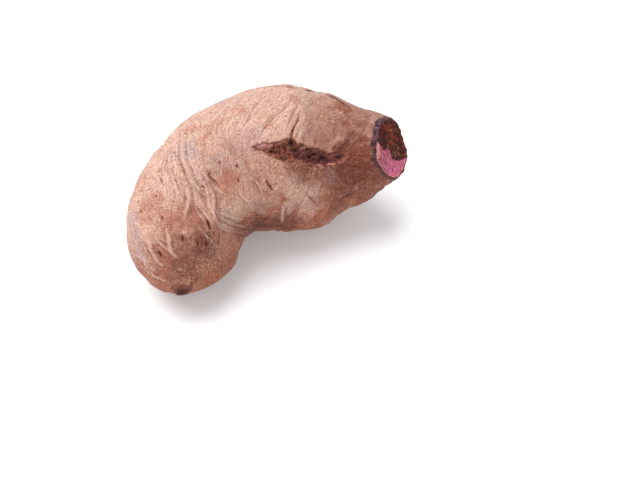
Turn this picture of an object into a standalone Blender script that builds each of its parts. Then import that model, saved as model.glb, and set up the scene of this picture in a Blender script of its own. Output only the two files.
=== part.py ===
"""A whole purple sweet potato, lying on its side, with its neck trimmed off at a slant.

The root grew as one piece, so it is one closed solid. A rounded section is carried along a bent middle
line, from the blunt root end to the flat cut across the neck. Low relief stands on that body: the lobes
and hollows of its growth, the long open scar on its shoulder, the folds at the bend and the wrung neck.

Metres, +Z up. The origin is the bottom centre of the root's box, and it rests on flats at height 0.
"""

import math

import bmesh
import bpy
import numpy as np

MM = 0.001

# The middle line, from the root end to the cut, in mm: x, y and height of each station, then the
# half width and the half height of the section there.
STATIONS_MM = np.array([
    (-40.0, -69.3, 22.8, 23.0, 22.0),
    (-41.0, -46.8, 25.3, 25.0, 25.5),
    (-35.5, -22.8, 28.3, 28.0, 28.5),
    (-21.0, -5.3, 31.3, 31.5, 31.5),
    (0.0, 0.7, 34.3, 34.5, 34.5),
    (18.5, 1.7, 34.3, 32.0, 33.0),
    (37.0, 0.7, 38.3, 22.5, 23.5),
    (54.5, -4.8, 46.3, 13.8, 14.3),
])

ROUND_END_MM = 24.0          # the root end is rounded over this much of the length
ROUND_END_FADE_MM = 10.0     # the relief fades out over this much of it
LEAST_STRETCH = 0.45         # under this stretch of the skin, inside the bend, the relief fades out too
CUT_NORMAL = (0.80, -0.33, 0.50)
CUT_TURN_MM = 22.0           # the sections turn from square to the slant of the cut over this length
CUT_DISH_MM = 1.0            # the dried cut face has sunk this far at its middle

# Bumps and hollows of growth: mm along, degrees round, reach along and round in mm, height in mm.
SWELLINGS = (
    (96.0, 121.0, 8.0, 18.0, 1.5),       # crown of the back
    (104.0, 115.0, 3.2, 12.0, -1.1),     # dip between the crown and the shoulder
    (124.5, 121.0, 9.5, 14.0, 2.6),      # shoulder before the neck
    (35.0, 152.0, 12.0, 18.0, 2.0),      # outer side of the bend
    (7.0, 188.0, 9.0, 18.0, -1.9),       # lower corner of the round end
    (110.0, 324.0, 6.0, 12.0, 1.0),      # belly
    (120.5, 330.0, 7.0, 13.0, -2.0),     # hollow under the shoulder
    (135.0, 312.0, 9.0, 10.0, 1.9),      # underside of the neck
    (66.0, 120.0, 16.0, 20.0, 0.9),
    (58.0, 268.0, 16.0, 16.0, -0.9),     # the root rests before, between and after these two
    (78.0, 262.0, 7.0, 14.0, 0.5),
    (92.0, 200.0, 20.0, 22.0, -1.2),
    (118.0, 235.0, 12.0, 14.0, 1.0),
    (28.0, 60.0, 9.0, 12.0, -0.7),
)

# Ridges and folds: (mm along, degrees round) from end to end, then half width in mm and height in mm.
STROKES = (
    (((142.0, 79.5), (135.0, 58.0), (127.8, 41.2)), 1.9, 0.9),              # wrung ridge on the neck
    (((144.0, 70.0), (138.0, 52.0), (131.5, 38.0)), 1.7, -0.9),             # the furrow beside it
    (((24.6, 36.8), (35.0, 12.0), (46.4, -11.2), (60.0, -24.0)), 2.4, -1.3),  # fold inside the bend
    (((46.0, 76.0), (35.4, 56.2), (22.7, 50.2), (18.0, 38.0)), 2.0, 0.7),   # pale ridge over the bend
    (((46.5, 66.0), (37.8, 48.0), (26.5, 42.0)), 1.8, -0.6),
    (((88.7, 92.2), (82.0, 79.0), (78.0, 68.0)), 2.2, -0.5),                # creases round the middle
    (((105.1, 100.5), (93.0, 72.0), (87.0, 60.0)), 2.2, -0.5),
    (((96.0, 150.0), (90.0, 185.0), (94.0, 225.0)), 2.4, -0.8),
    (((58.0, 150.0), (52.0, 190.0), (56.0, 240.0)), 2.4, -0.7),
    (((130.0, 150.0), (126.0, 190.0), (131.0, 240.0)), 2.2, -0.8),
)

# The open scar: its line on the skin, its half width along that line, and the two bridges that part it.
SCAR_LINE = ((80.0, 57.0), (98.0, 48.0), (114.0, 40.5), (138.0, 30.2))
SCAR_HALF_WIDTHS_MM = ((80.0, 1.0), (90.0, 4.4), (98.5, 5.6), (104.0, 4.2), (113.0, 4.8), (122.0, 3.8),
                       (131.0, 3.8), (138.0, 1.0))
SCAR_BRIDGES_MM = (102.5, 124.0)
SCAR_DEPTH_MM = 1.9
SCAR_LIP_MM = 0.6

# The crook of the bend is filled out to the front: a line in space in mm, the fill on it, how far the fill
# reaches, how softly it starts, and which way it goes.
CROOK_LINE_MM = ((-7.0, -31.5, 36.0), (-3.0, -28.0, 14.0))
CROOK_FILL_MM = 10.0
CROOK_REACH_MM = 24.0
CROOK_SOFT_MM = 2.0
CROOK_TOWARDS = (0.0, -0.707, 0.707)

# Inside the bend the skin is crowded, so it is evened out along the root.
EVEN_STRETCH = 0.65          # wherever its stretch is under this
EVEN_MM = 18.0               # over this much to each side where the stretch is none
EVEN_UP_TO_MM = 112.0        # only this far along, so that the neck keeps its form
EVEN_STEPS = 9

# The tapered end where the thin root broke off.
ROOT_TIP_REACH_MM = 9.0
ROOT_TIP_MM = 2.6
ROOT_STUB_RADIUS_MM = 2.8
ROOT_STUB_FOOT_MM = 3.0
ROOT_STUB_MM = 2.2

SEGMENTS = 72
ROWS = 56
ROUND_END_ROWS = 13
CUT_ROWS = 6

SKIN_COLOR = (0.47, 0.25, 0.18, 1.0)
FLESH_COLOR = (0.42, 0.11, 0.22, 1.0)


def natural_spline(knots, values, at):
    """The smoothest curve through the values at the knots, straight at both ends, read at `at`."""
    gaps = np.diff(knots)
    system = np.eye(len(knots))
    target = np.zeros_like(values)
    for i in range(1, len(knots) - 1):
        system[i, i - 1:i + 2] = gaps[i - 1], 2 * (gaps[i - 1] + gaps[i]), gaps[i]
        target[i] = 6 * ((values[i + 1] - values[i]) / gaps[i] - (values[i] - values[i - 1]) / gaps[i - 1])
    bend = np.linalg.solve(system, target)
    i = np.clip(np.searchsorted(knots, at) - 1, 0, len(gaps) - 1)
    gap = gaps[i][:, None]
    b = (at - knots[i])[:, None] / gap
    a = 1 - b
    return a * values[i] + b * values[i + 1] + ((a**3 - a) * bend[i] + (b**3 - b) * bend[i + 1]) * gap**2 / 6


STATION_STEPS_MM = np.linalg.norm(np.diff(STATIONS_MM[:, :3], axis=0), axis=1)
STATIONS_ALONG_MM = np.concatenate([[0.0], STATION_STEPS_MM.cumsum()])
LENGTH_MM = STATIONS_ALONG_MM[-1]


def unit(vectors):
    return vectors / np.linalg.norm(vectors, axis=-1, keepdims=True)


def smooth_step(x):
    x = np.clip(x, 0.0, 1.0)
    return x * x * (3 - 2 * x)


def station(along):
    """Middle, half width and half height of the section at each distance along the root."""
    return natural_spline(STATIONS_ALONG_MM, STATIONS_MM, along)


def just_around(along):
    """The distances half a mm behind and half a mm ahead, kept on the root."""
    return np.clip(along - 0.5, 0.0, LENGTH_MM), np.clip(along + 0.5, 0.0, LENGTH_MM)


def section_axes(along):
    """Each section's own axes: forward along the root, up, and across. The last ones lie in the cut."""
    behind, ahead = just_around(along)
    forward = unit(station(ahead)[:, :3] - station(behind)[:, :3])
    slant = smooth_step((along - (LENGTH_MM - CUT_TURN_MM)) / CUT_TURN_MM)[:, None]
    forward = unit(forward * (1 - slant) + unit(np.array(CUT_NORMAL)) * slant)
    up = np.array([0.0, 0.0, 1.0])
    up = unit(up - (forward @ up)[:, None] * forward)
    return forward, up, np.cross(forward, up)


def section_points(along, degrees):
    """Points of the plain sections, before any relief and before the end is rounded."""
    at = station(along)
    _, up, across = section_axes(along)
    angle = np.radians(degrees)[:, None]
    return at[:, :3] + at[:, 3:4] * np.cos(angle) * across + at[:, 4:5] * np.sin(angle) * up


def mm_round(degrees, centre, radius):
    """Distance round the section from an angle, the short way, in mm."""
    return radius * np.radians((degrees - centre + 180.0) % 360.0 - 180.0)


def stroke_distance(along, degrees, radius, path):
    """Distance from each point of the skin, rolled out flat, to a line drawn through the path's points."""
    nearest = np.full(along.shape, np.inf)
    for (a0, d0), (a1, d1) in zip(path[:-1], path[1:]):
        x = along - a0
        y = mm_round(degrees, d0, radius)
        step_x = a1 - a0
        step_y = mm_round(d1, d0, radius)
        share = np.clip((x * step_x + y * step_y) / (step_x**2 + step_y**2), 0.0, 1.0)
        nearest = np.minimum(nearest, np.hypot(x - share * step_x, y - share * step_y))
    return nearest


def growth_waves(along, degrees):
    """Slow lobes along the root and slight rings round it, so that no section is a true circle."""
    angle = np.radians(degrees)
    return (0.70 * np.cos(2 * angle + 0.045 * along + 0.6)
            + 0.45 * np.cos(3 * angle - 0.060 * along + 2.1)
            + 0.30 * np.cos(5 * angle + 0.075 * along)
            + 0.28 * np.sin(0.33 * along + 1.4 * np.cos(angle + 0.8)))


def scar_relief(along, degrees, radius):
    """A trench with a raised lip: deepest on its line, shallower at the two bridges and the ends."""
    line_along, line_degrees = np.array(SCAR_LINE).T
    across = mm_round(degrees, np.interp(along, line_along, line_degrees), radius)
    half_along, half_width = np.array(SCAR_HALF_WIDTHS_MM).T
    half = np.interp(along, half_along, half_width, left=0.0, right=0.0)
    inside = np.where(half > 0.0, 1 - smooth_step(np.abs(across) / np.maximum(half, 0.1)), 0.0)
    for bridge in SCAR_BRIDGES_MM:
        inside = inside * (1 - 0.55 * np.exp(-((along - bridge) / 2.2)**2))
    lip = np.exp(-((np.abs(across) - half - 0.8) / 1.8)**2) * smooth_step(half / 3.0)
    return SCAR_LIP_MM * lip - SCAR_DEPTH_MM * inside


def stretch(along, degrees):
    """How many mm of skin one mm of middle line carries: over 1 outside the bend, near 0 inside it."""
    behind, ahead = just_around(along)
    step = section_points(ahead, degrees) - section_points(behind, degrees)
    return np.linalg.norm(step, axis=1) / (ahead - behind)


def relief(along, degrees):
    """Height of the skin over the plain section, in mm. It fades out where the skin has no room for it."""
    radius = station(along)[:, 3:].mean(axis=1)
    height = growth_waves(along, degrees)
    for at, angle, reach_along, reach_round, tall in SWELLINGS:
        off = ((along - at) / reach_along)**2 + (mm_round(degrees, angle, radius) / reach_round)**2
        height += tall * np.exp(-off)
    for path, half_width, tall in STROKES:
        height += tall * np.exp(-(stroke_distance(along, degrees, radius, path) / half_width)**2)
    height += scar_relief(along, degrees, radius)
    room = smooth_step(stretch(along, degrees) / LEAST_STRETCH)
    return height * room * smooth_step(along / ROUND_END_FADE_MM)


def crook_fill(points):
    """What the crook adds to points of the skin, in mm: most near its line, nothing past its reach."""
    start, end = np.array(CROOK_LINE_MM)
    step = end - start
    share = np.clip((points - start) @ step / (step @ step), 0.0, 1.0)
    off = np.linalg.norm(points - start - share[:, None] * step, axis=1)
    off = np.hypot(off, CROOK_SOFT_MM) - CROOK_SOFT_MM
    fill = CROOK_FILL_MM * np.clip(1 - off / CROOK_REACH_MM, 0.0, 1.0)**2
    return fill[:, None] * unit(np.array(CROOK_TOWARDS))


def root_tip(distance):
    """The end's own taper and the stub of the thin root, by distance from its middle, in mm."""
    taper = ROOT_TIP_MM * np.exp(-(distance / ROOT_TIP_REACH_MM)**2)
    stub = ROOT_STUB_MM * (1 - smooth_step((distance - ROOT_STUB_RADIUS_MM) / ROOT_STUB_FOOT_MM))
    return taper + stub


def folded_skin(along, degrees):
    """Points of the skin in mm, at distances along the root and angles round it."""
    at = station(along)
    forward, up, across = section_axes(along)
    angle = np.radians(degrees)[:, None]
    back = np.clip(1 - along / ROUND_END_MM, 0.0, 1.0)[:, None]
    spread = np.sqrt(1 - back**2)
    radial = at[:, 3:4] * np.cos(angle) * across + at[:, 4:5] * np.sin(angle) * up
    outward = spread * unit(radial) - back * forward
    tip = root_tip(spread[:, 0] * at[:, 3])
    points = at[:, :3] + spread * radial + relief(along, degrees)[:, None] * outward
    points = points - tip[:, None] * back * forward
    return points + crook_fill(points)


def skin_points(along, degrees):
    """The folded skin, evened out inside the bend, where a point is the mean of the skin before and after it."""
    points = folded_skin(along, degrees)
    room = smooth_step(stretch(along, degrees) / EVEN_STRETCH)
    window = EVEN_MM * (1 - room) * smooth_step((EVEN_UP_TO_MM - along) / 10.0)
    which = np.flatnonzero(window > 0.01)
    total = np.zeros((len(which), 3))
    for share in np.linspace(-1.0, 1.0, EVEN_STEPS):
        beside = np.clip(along[which] + share * window[which], 0.0, LENGTH_MM)
        total += folded_skin(beside, degrees[which])
    points[which] = total / EVEN_STEPS
    return points


def cut_points(share, degrees):
    """Points of the cut face in mm: the cut's own outline drawn in by a share of its radius, and dished."""
    end = np.full(share.shape, LENGTH_MM)
    middle = station(end)[:, :3]
    forward = section_axes(end)[0]
    rim = skin_points(end, degrees)
    sunk = CUT_DISH_MM * (1 - smooth_step(share / 0.9))
    return middle + share[:, None] * (rim - middle) - sunk[:, None] * forward


def root_points(row, degrees):
    """Every point of the root in mm. Rows run from the root end's middle to the cut face's middle."""
    rim_row = ROWS - CUT_ROWS
    round_end = ROUND_END_MM * (1 - np.cos(math.pi / 2 * row / ROUND_END_ROWS))
    body = ROUND_END_MM + (LENGTH_MM - ROUND_END_MM) * (row - ROUND_END_ROWS) / (rim_row - ROUND_END_ROWS)
    along = np.where(row < ROUND_END_ROWS, round_end, np.minimum(body, LENGTH_MM))
    on_cut = row > rim_row
    share = np.clip((ROWS - row) / CUT_ROWS, 0.0, 1.0)
    return np.where(on_cut[:, None], cut_points(share, degrees), skin_points(along, degrees))


def settled(points):
    """Moves the root so that its box's bottom centre is the origin, with flats where it would sink in."""
    points[:, 2] = np.maximum(points[:, 2], 0.0)
    low = points.min(axis=0)
    high = points.max(axis=0)
    return points - np.array([(low[0] + high[0]) / 2, (low[1] + high[1]) / 2, low[2]])


def make_material(name, color, roughness):
    material = bpy.data.materials.new(name)
    material.use_nodes = True
    shader = material.node_tree.nodes["Principled BSDF"]
    shader.inputs["Base Color"].default_value = color
    shader.inputs["Roughness"].default_value = roughness
    shader.inputs["Metallic"].default_value = 0.0
    return material


def make_root(collection):
    """The root: a sphere's net of points, each moved to its place on the skin or on the cut."""
    mesh = bpy.data.meshes.new("sweet_potato")
    shape = bmesh.new()
    bmesh.ops.create_uvsphere(shape, u_segments=SEGMENTS, v_segments=ROWS, radius=1.0)
    shape.to_mesh(mesh)
    shape.free()
    sphere = np.empty(3 * len(mesh.vertices))
    mesh.vertices.foreach_get("co", sphere)
    sphere = sphere.reshape(-1, 3)
    row = np.round(np.arccos(np.clip(sphere[:, 2], -1.0, 1.0)) / math.pi * ROWS)
    degrees = np.degrees(np.arctan2(sphere[:, 1], sphere[:, 0]))
    points = settled(root_points(row, degrees)) * MM
    mesh.vertices.foreach_set("co", points.ravel())
    mesh.materials.append(make_material("skin", SKIN_COLOR, 0.75))
    mesh.materials.append(make_material("flesh", FLESH_COLOR, 0.55))
    for polygon in mesh.polygons:
        if min(row[i] for i in polygon.vertices) >= ROWS - CUT_ROWS:
            polygon.material_index = 1
    mesh.shade_smooth()
    mesh.set_sharp_from_angle(angle=math.radians(50))
    mesh.update()
    root = bpy.data.objects.new("sweet_potato", mesh)
    collection.objects.link(root)
    return root


def main():
    for old in list(bpy.data.objects):
        bpy.data.objects.remove(old)
    collection = bpy.data.collections.new("purple_sweet_potato")
    bpy.context.scene.collection.children.link(collection)
    make_root(collection)


main()
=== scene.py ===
# %% [markdown]
# # A purple sweet potato, from its form to its skin
#
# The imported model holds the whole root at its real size, as one plain solid. A real root is known by its
# surface: dusty skin with wrinkles that wind round it, pale ridges at the bend, pits where fine roots sat, an
# open corky scar on the shoulder, and a neck trimmed at a slant that shows purple flesh beside brown cork.
#
# All of that is worked out here with numpy. The formula that gave the solid its form is read again on a net
# about five times as fine, the marks of the skin are raised from it or sunk into it, and the colours follow
# them.

import itertools
import math

import bpy
import numpy as np
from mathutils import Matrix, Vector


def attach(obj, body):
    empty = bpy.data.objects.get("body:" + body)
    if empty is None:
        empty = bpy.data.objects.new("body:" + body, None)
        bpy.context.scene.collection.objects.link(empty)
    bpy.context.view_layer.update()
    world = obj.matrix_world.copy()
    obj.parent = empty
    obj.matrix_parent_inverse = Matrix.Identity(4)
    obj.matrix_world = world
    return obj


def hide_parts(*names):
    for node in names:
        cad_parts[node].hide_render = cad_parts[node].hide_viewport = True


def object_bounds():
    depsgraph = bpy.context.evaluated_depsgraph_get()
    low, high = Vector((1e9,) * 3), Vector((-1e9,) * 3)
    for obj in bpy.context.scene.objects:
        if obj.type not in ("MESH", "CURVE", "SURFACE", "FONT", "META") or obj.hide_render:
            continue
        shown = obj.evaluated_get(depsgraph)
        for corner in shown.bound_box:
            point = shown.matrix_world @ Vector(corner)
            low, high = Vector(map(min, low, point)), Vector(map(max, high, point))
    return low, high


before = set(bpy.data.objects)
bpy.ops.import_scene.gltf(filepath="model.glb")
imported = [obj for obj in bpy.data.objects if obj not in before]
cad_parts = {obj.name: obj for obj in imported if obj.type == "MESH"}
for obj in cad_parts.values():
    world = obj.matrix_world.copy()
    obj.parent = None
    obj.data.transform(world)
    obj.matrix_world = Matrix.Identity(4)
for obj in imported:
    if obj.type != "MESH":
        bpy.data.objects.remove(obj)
cad_low, cad_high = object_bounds()
MM = 0.001
print("The solid measures", [round(1000 * side, 1) for side in cad_high - cad_low], "mm")

# %% [markdown]
# ## The camera
#
# A long lens from three quarters of a metre away shows a small root with hardly any perspective. The camera
# looks down at 45 degrees from the front, so that the bend opens to the left and the cut neck points to the
# right.

# %% The camera
CAMERA_PLACE_MM = np.array([23.56, -539.18, 539.66])
CAMERA_TILT = math.radians(45)
LENS_MM = 90.0
SENSOR_MM = 36.0
PICTURE_PX = (640, 480)
FOCUS_PX = PICTURE_PX[0] * LENS_MM / SENSOR_MM
CAMERA_RIGHT = np.array([1.0, 0.0, 0.0])
CAMERA_UP = np.array([0.0, math.cos(CAMERA_TILT), math.sin(CAMERA_TILT)])
CAMERA_BACK = np.array([0.0, -math.sin(CAMERA_TILT), math.cos(CAMERA_TILT)])


def new_object(name, data):
    """An object at the origin, linked to the scene."""
    made = bpy.data.objects.new(name, data)
    bpy.context.scene.collection.objects.link(made)
    return made


camera_data = bpy.data.cameras.new("photo_camera")
camera_data.lens = LENS_MM
camera_data.sensor_width = SENSOR_MM
camera = new_object("photo_camera", camera_data)
camera.location = CAMERA_PLACE_MM * MM
camera.rotation_euler = (CAMERA_TILT, 0.0, 0.0)
bpy.context.scene.camera = camera
print("One pixel is", round(np.linalg.norm(CAMERA_PLACE_MM) / FOCUS_PX, 2), "mm at the root")

# %% [markdown]
# ## Floor and light
#
# The root lies on a plain pale floor that glows a little, so that its shadow stays light. One wide soft lamp
# stands above and behind it, somewhat to the left, so that the back is bright and the belly falls into warm
# shade. A weak lamp from the front and the pale sky fill the shade.

# %% Floor and light
WHITE = (1.0, 1.0, 1.0, 1.0)
FLOOR_HALF = 3.0
FLOOR_FINISH = {
    "Base Color": (0.70, 0.70, 0.705, 1.0), "Roughness": 0.9, "Specular IOR Level": 0.1,
    "Emission Color": WHITE, "Emission Strength": 0.2,
}
LAMPS = (  # name, strength, width on the sky in degrees, and the direction that it shines from
    ("key_lamp", 3.9, 60, (-0.36, 0.18, 1.0)),
    ("fill_lamp", 0.75, 80, (-0.6, -1.0, 0.7)),
)
SKY_STRENGTH = 0.62


def new_material(name):
    """A material with a Principled shader, and its node tree."""
    material = bpy.data.materials.new(name)
    material.use_nodes = True
    return material, material.node_tree


floor_mesh = bpy.data.meshes.new("floor")
corners = [(x * FLOOR_HALF, y * FLOOR_HALF, 0) for x, y in ((-1, -1), (1, -1), (1, 1), (-1, 1))]
floor_mesh.from_pydata(corners, [], [(0, 1, 2, 3)])
floor_material, floor_tree = new_material("pale_floor")
for name, value in FLOOR_FINISH.items():
    floor_tree.nodes["Principled BSDF"].inputs[name].default_value = value
floor_mesh.materials.append(floor_material)
floor = new_object("floor", floor_mesh)

for name, strength, width, (x, y, z) in LAMPS:
    lamp_data = bpy.data.lights.new(name, "SUN")
    lamp_data.energy = strength
    lamp_data.angle = math.radians(width)
    lamp = new_object(name, lamp_data)
    lamp.rotation_euler = (math.atan2(math.hypot(x, y), z), 0.0, math.atan2(y, x) + math.pi / 2)
world = bpy.data.worlds.new("pale_sky")
bpy.context.scene.world = world
world.use_nodes = True
sky = world.node_tree.nodes["Background"]
sky.inputs["Color"].default_value = WHITE
sky.inputs["Strength"].default_value = SKY_STRENGTH
bpy.context.scene.view_settings.view_transform = "Standard"
print("Two lamps and a pale sky light the floor")

# %% [markdown]
# ## The root's form
#
# The root is a rounded section carried along a bent middle line: a handful of stations give the line's place and
# the section's half width and half height, and the smoothest curve through them gives the rest. It could be
# sculpted instead, but a formula can be read again anywhere, as finely as the skin needs. These are the solid's
# own values.

# %% Stations of the middle line
STATIONS_MM = np.array([
    (-40, -69.3, 22.8, 23, 22), (-41, -46.8, 25.3, 25, 25.5), (-35.5, -22.8, 28.3, 28, 28.5),
    (-21, -5.3, 31.3, 31.5, 31.5), (0, 0.7, 34.3, 34.5, 34.5), (18.5, 1.7, 34.3, 32, 33),
    (37, 0.7, 38.3, 22.5, 23.5), (54.5, -4.8, 46.3, 13.8, 14.3),
])
ROUND_END_MM = 24.0
ROUND_END_FADE_MM = 10.0
LEAST_STRETCH = 0.45
CUT_NORMAL = (0.80, -0.33, 0.50)
CUT_TURN_MM = 22.0


def natural_spline(knots, values, at):
    """The smoothest curve through the values at the knots, straight at both ends, read at `at`."""
    gaps = np.diff(knots)
    system = np.eye(len(knots))
    target = np.zeros_like(values)
    for i in range(1, len(knots) - 1):
        system[i, i - 1:i + 2] = gaps[i - 1], 2 * (gaps[i - 1] + gaps[i]), gaps[i]
        target[i] = 6 * ((values[i + 1] - values[i]) / gaps[i] - (values[i] - values[i - 1]) / gaps[i - 1])
    bend = np.linalg.solve(system, target)
    i = np.clip(np.searchsorted(knots, at) - 1, 0, len(gaps) - 1)
    gap = gaps[i][:, None]
    b = (at - knots[i])[:, None] / gap
    a = 1 - b
    return a * values[i] + b * values[i + 1] + ((a**3 - a) * bend[i] + (b**3 - b) * bend[i + 1]) * gap**2 / 6


def unit(vectors):
    return vectors / np.linalg.norm(vectors, axis=-1, keepdims=True)


def smooth_step(x):
    """0 below 0, 1 above 1, and an even rise between."""
    x = np.clip(x, 0.0, 1.0)
    return x * x * (3 - 2 * x)


def bell(x):
    """A bell curve: 1 at 0, about a third at 1, and nearly nothing past 2."""
    return np.exp(-x**2)


STATION_STEPS_MM = np.linalg.norm(np.diff(STATIONS_MM[:, :3], axis=0), axis=1)
STATIONS_ALONG_MM = np.concatenate([[0.0], STATION_STEPS_MM.cumsum()])
LENGTH_MM = STATIONS_ALONG_MM[-1]


def station(along):
    """Middle, half width and half height of the section at each distance along the root."""
    return natural_spline(STATIONS_ALONG_MM, STATIONS_MM, along)


def just_around(along):
    """The distances half a mm behind and half a mm ahead, kept on the root."""
    return np.clip(along - 0.5, 0.0, LENGTH_MM), np.clip(along + 0.5, 0.0, LENGTH_MM)


def section_axes(along):
    """Forward, up and across at each distance. Up is the world's up made square to forward."""
    behind, ahead = just_around(along)
    forward = unit(station(ahead)[:, :3] - station(behind)[:, :3])
    slant = smooth_step((along - (LENGTH_MM - CUT_TURN_MM)) / CUT_TURN_MM)[:, None]
    forward = unit(forward * (1 - slant) + unit(np.array(CUT_NORMAL)) * slant)
    up = np.array([0.0, 0.0, 1.0])
    up = unit(up - (forward @ up)[:, None] * forward)
    return forward, up, np.cross(forward, up)


def section_radial(along, degrees):
    """From the middle to the plain section: width times cosine across, plus height times sine up."""
    at = station(along)
    _, up, across = section_axes(along)
    angle = np.radians(degrees)[:, None]
    return at[:, 3:4] * np.cos(angle) * across + at[:, 4:5] * np.sin(angle) * up


def mean_radius(along):
    return station(along)[:, 3:].mean(axis=1)


print("The middle line is", round(LENGTH_MM, 1), "mm long")

# %% [markdown]
# ## Bumps, hollows and folds
#
# Low relief stands on the sections: slow lobes of growth, a crown and a shoulder, the folds inside the bend and
# the wrung neck. Each bump is a bell curve on the rolled-out skin. This big relief is the solid's own, and only
# the open scar is left for later, because here it gets a torn edge and a crust of its own.

# %% Relief of the body
WAVES = ((0.70, 2, 0.045, 0.6), (0.45, 3, -0.060, 2.1), (0.30, 5, 0.075, 0.0))  # mm, lobes, turn per mm, start
SWELLINGS = (  # mm along, degrees round, reach along and round in mm, height in mm
    (96, 121, 8, 18, 1.5), (104, 115, 3.2, 12, -1.1), (124.5, 121, 9.5, 14, 2.6), (35, 152, 12, 18, 2),
    (7, 188, 9, 18, -1.9), (110, 324, 6, 12, 1), (120.5, 330, 7, 13, -2), (135, 312, 9, 10, 1.9),
    (66, 120, 16, 20, 0.9), (58, 268, 16, 16, -0.9), (78, 262, 7, 14, 0.5), (92, 200, 20, 22, -1.2),
    (118, 235, 12, 14, 1), (28, 60, 9, 12, -0.7),
)
FOLDS = (  # path of (mm along, degrees round), half width in mm, height in mm
    (((142, 79.5), (135, 58), (127.8, 41.2)), 1.9, 0.9),
    (((144, 70), (138, 52), (131.5, 38)), 1.7, -0.9),
    (((24.6, 36.8), (35, 12), (46.4, -11.2), (60, -24)), 2.4, -1.3),
    (((46, 76), (35.4, 56.2), (22.7, 50.2), (18, 38)), 2, 0.7),
    (((46.5, 66), (37.8, 48), (26.5, 42)), 1.8, -0.6),
    (((88.7, 92.2), (82, 79), (78, 68)), 2.2, -0.5),
    (((105.1, 100.5), (93, 72), (87, 60)), 2.2, -0.5),
    (((96, 150), (90, 185), (94, 225)), 2.4, -0.8),
    (((58, 150), (52, 190), (56, 240)), 2.4, -0.7),
    (((130, 150), (126, 190), (131, 240)), 2.2, -0.8),
)
CROOK_LINE_MM = ((-7, -31.5, 36), (-3, -28, 14))
CROOK_FILL_MM = 10.0
CROOK_REACH_MM = 24.0
CROOK_SOFT_MM = 2.0
CROOK_TOWARDS = (0.0, -0.707, 0.707)
EVEN_STRETCH = 0.65
EVEN_MM = 18.0
EVEN_UP_TO_MM = 112.0
EVEN_STEPS = 9
TIP_TAPER_MM = 2.6
TIP_REACH_MM = 9.0
STUB_MM = 2.2
STUB_RADIUS_MM = 2.8
STUB_FOOT_MM = 3.0


def mm_round(degrees, centre, radius):
    """Distance round the section from an angle, the short way, in mm."""
    return radius * np.radians((degrees - centre + 180.0) % 360.0 - 180.0)


def fold_distance(along, degrees, radius, path):
    """Distance on the rolled-out skin to the line through the path's points: the least over its pieces."""
    nearest = np.full(along.shape, np.inf)
    for (a0, d0), (a1, d1) in zip(path[:-1], path[1:]):
        x = along - a0
        y = mm_round(degrees, d0, radius)
        step_x = a1 - a0
        step_y = mm_round(d1, d0, radius)
        share = np.clip((x * step_x + y * step_y) / (step_x**2 + step_y**2), 0.0, 1.0)
        nearest = np.minimum(nearest, np.hypot(x - share * step_x, y - share * step_y))
    return nearest


def growth_waves(along, degrees):
    """Cosines of two, three and five lobes round the section, turning slowly along the root, and slanted rings."""
    angle = np.radians(degrees)
    lobes = sum(tall * np.cos(count * angle + turn * along + start) for tall, count, turn, start in WAVES)
    return lobes + 0.28 * np.sin(0.33 * along + 1.4 * np.cos(angle + 0.8))


def stretch(along, degrees):
    """How many mm of skin one mm of middle line carries: over 1 outside the bend, near 0 inside it."""
    behind, ahead = just_around(along)
    before, after = (station(at)[:, :3] + section_radial(at, degrees) for at in (behind, ahead))
    return np.linalg.norm(after - before, axis=1) / (ahead - behind)


def body_relief(along, degrees):
    """Sum of the waves, the bell-shaped swellings and the folds, faded where the skin has no room for it."""
    radius = mean_radius(along)
    height = growth_waves(along, degrees)
    for at, angle, reach_along, reach_round, tall in SWELLINGS:
        off = np.hypot((along - at) / reach_along, mm_round(degrees, angle, radius) / reach_round)
        height += tall * bell(off)
    for path, half_width, tall in FOLDS:
        height += tall * bell(fold_distance(along, degrees, radius, path) / half_width)
    return height * smooth_step(stretch(along, degrees) / LEAST_STRETCH)


def crook_fill(points):
    """What the crook of the bend adds to points of the skin: most near its line, nothing past its reach."""
    start, end = np.array(CROOK_LINE_MM)
    step = end - start
    share = np.clip((points - start) @ step / (step @ step), 0.0, 1.0)
    off = np.linalg.norm(points - start - share[:, None] * step, axis=1)
    off = np.hypot(off, CROOK_SOFT_MM) - CROOK_SOFT_MM
    fill = CROOK_FILL_MM * np.clip(1 - off / CROOK_REACH_MM, 0.0, 1.0)**2
    return fill[:, None] * unit(np.array(CROOK_TOWARDS))


def root_tip(distance):
    """The blunt end's taper and the stub of the thin root, by distance from its middle, in mm."""
    return TIP_TAPER_MM * bell(distance / TIP_REACH_MM) + STUB_MM * (
        1 - smooth_step((distance - STUB_RADIUS_MM) / STUB_FOOT_MM))


def roundness(along):
    """How far the section has opened, from 0 at the root end's middle to 1 past the rounded end."""
    return np.sqrt(1 - np.clip(1 - along / ROUND_END_MM, 0.0, 1.0)**2)


def folded_skin(along, degrees):
    """The plain section drawn in by its roundness, then lifted outwards by the relief."""
    at = station(along)
    forward = section_axes(along)[0]
    radial = section_radial(along, degrees)
    spread = roundness(along)[:, None]
    back = np.sqrt(1 - spread**2)
    outward = spread * unit(radial) - back * forward
    height = body_relief(along, degrees) * smooth_step(along / ROUND_END_FADE_MM)
    tip = root_tip(spread[:, 0] * at[:, 3])
    points = at[:, :3] + spread * radial + height[:, None] * outward - tip[:, None] * back * forward
    return points + crook_fill(points)


def skin_points(along, degrees):
    """The folded skin, evened out inside the bend: there each point is the mean of the skin before and after."""
    points = folded_skin(along, degrees)
    room = smooth_step(stretch(along, degrees) / EVEN_STRETCH)
    window = EVEN_MM * (1 - room) * smooth_step((EVEN_UP_TO_MM - along) / 10.0)
    which = np.flatnonzero(window > 0.01)
    total = np.zeros((len(which), 3))
    for share in np.linspace(-1.0, 1.0, EVEN_STEPS):
        beside = np.clip(along[which] + share * window[which], 0.0, LENGTH_MM)
        total += folded_skin(beside, degrees[which])
    points[which] = total / EVEN_STEPS
    return points


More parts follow.
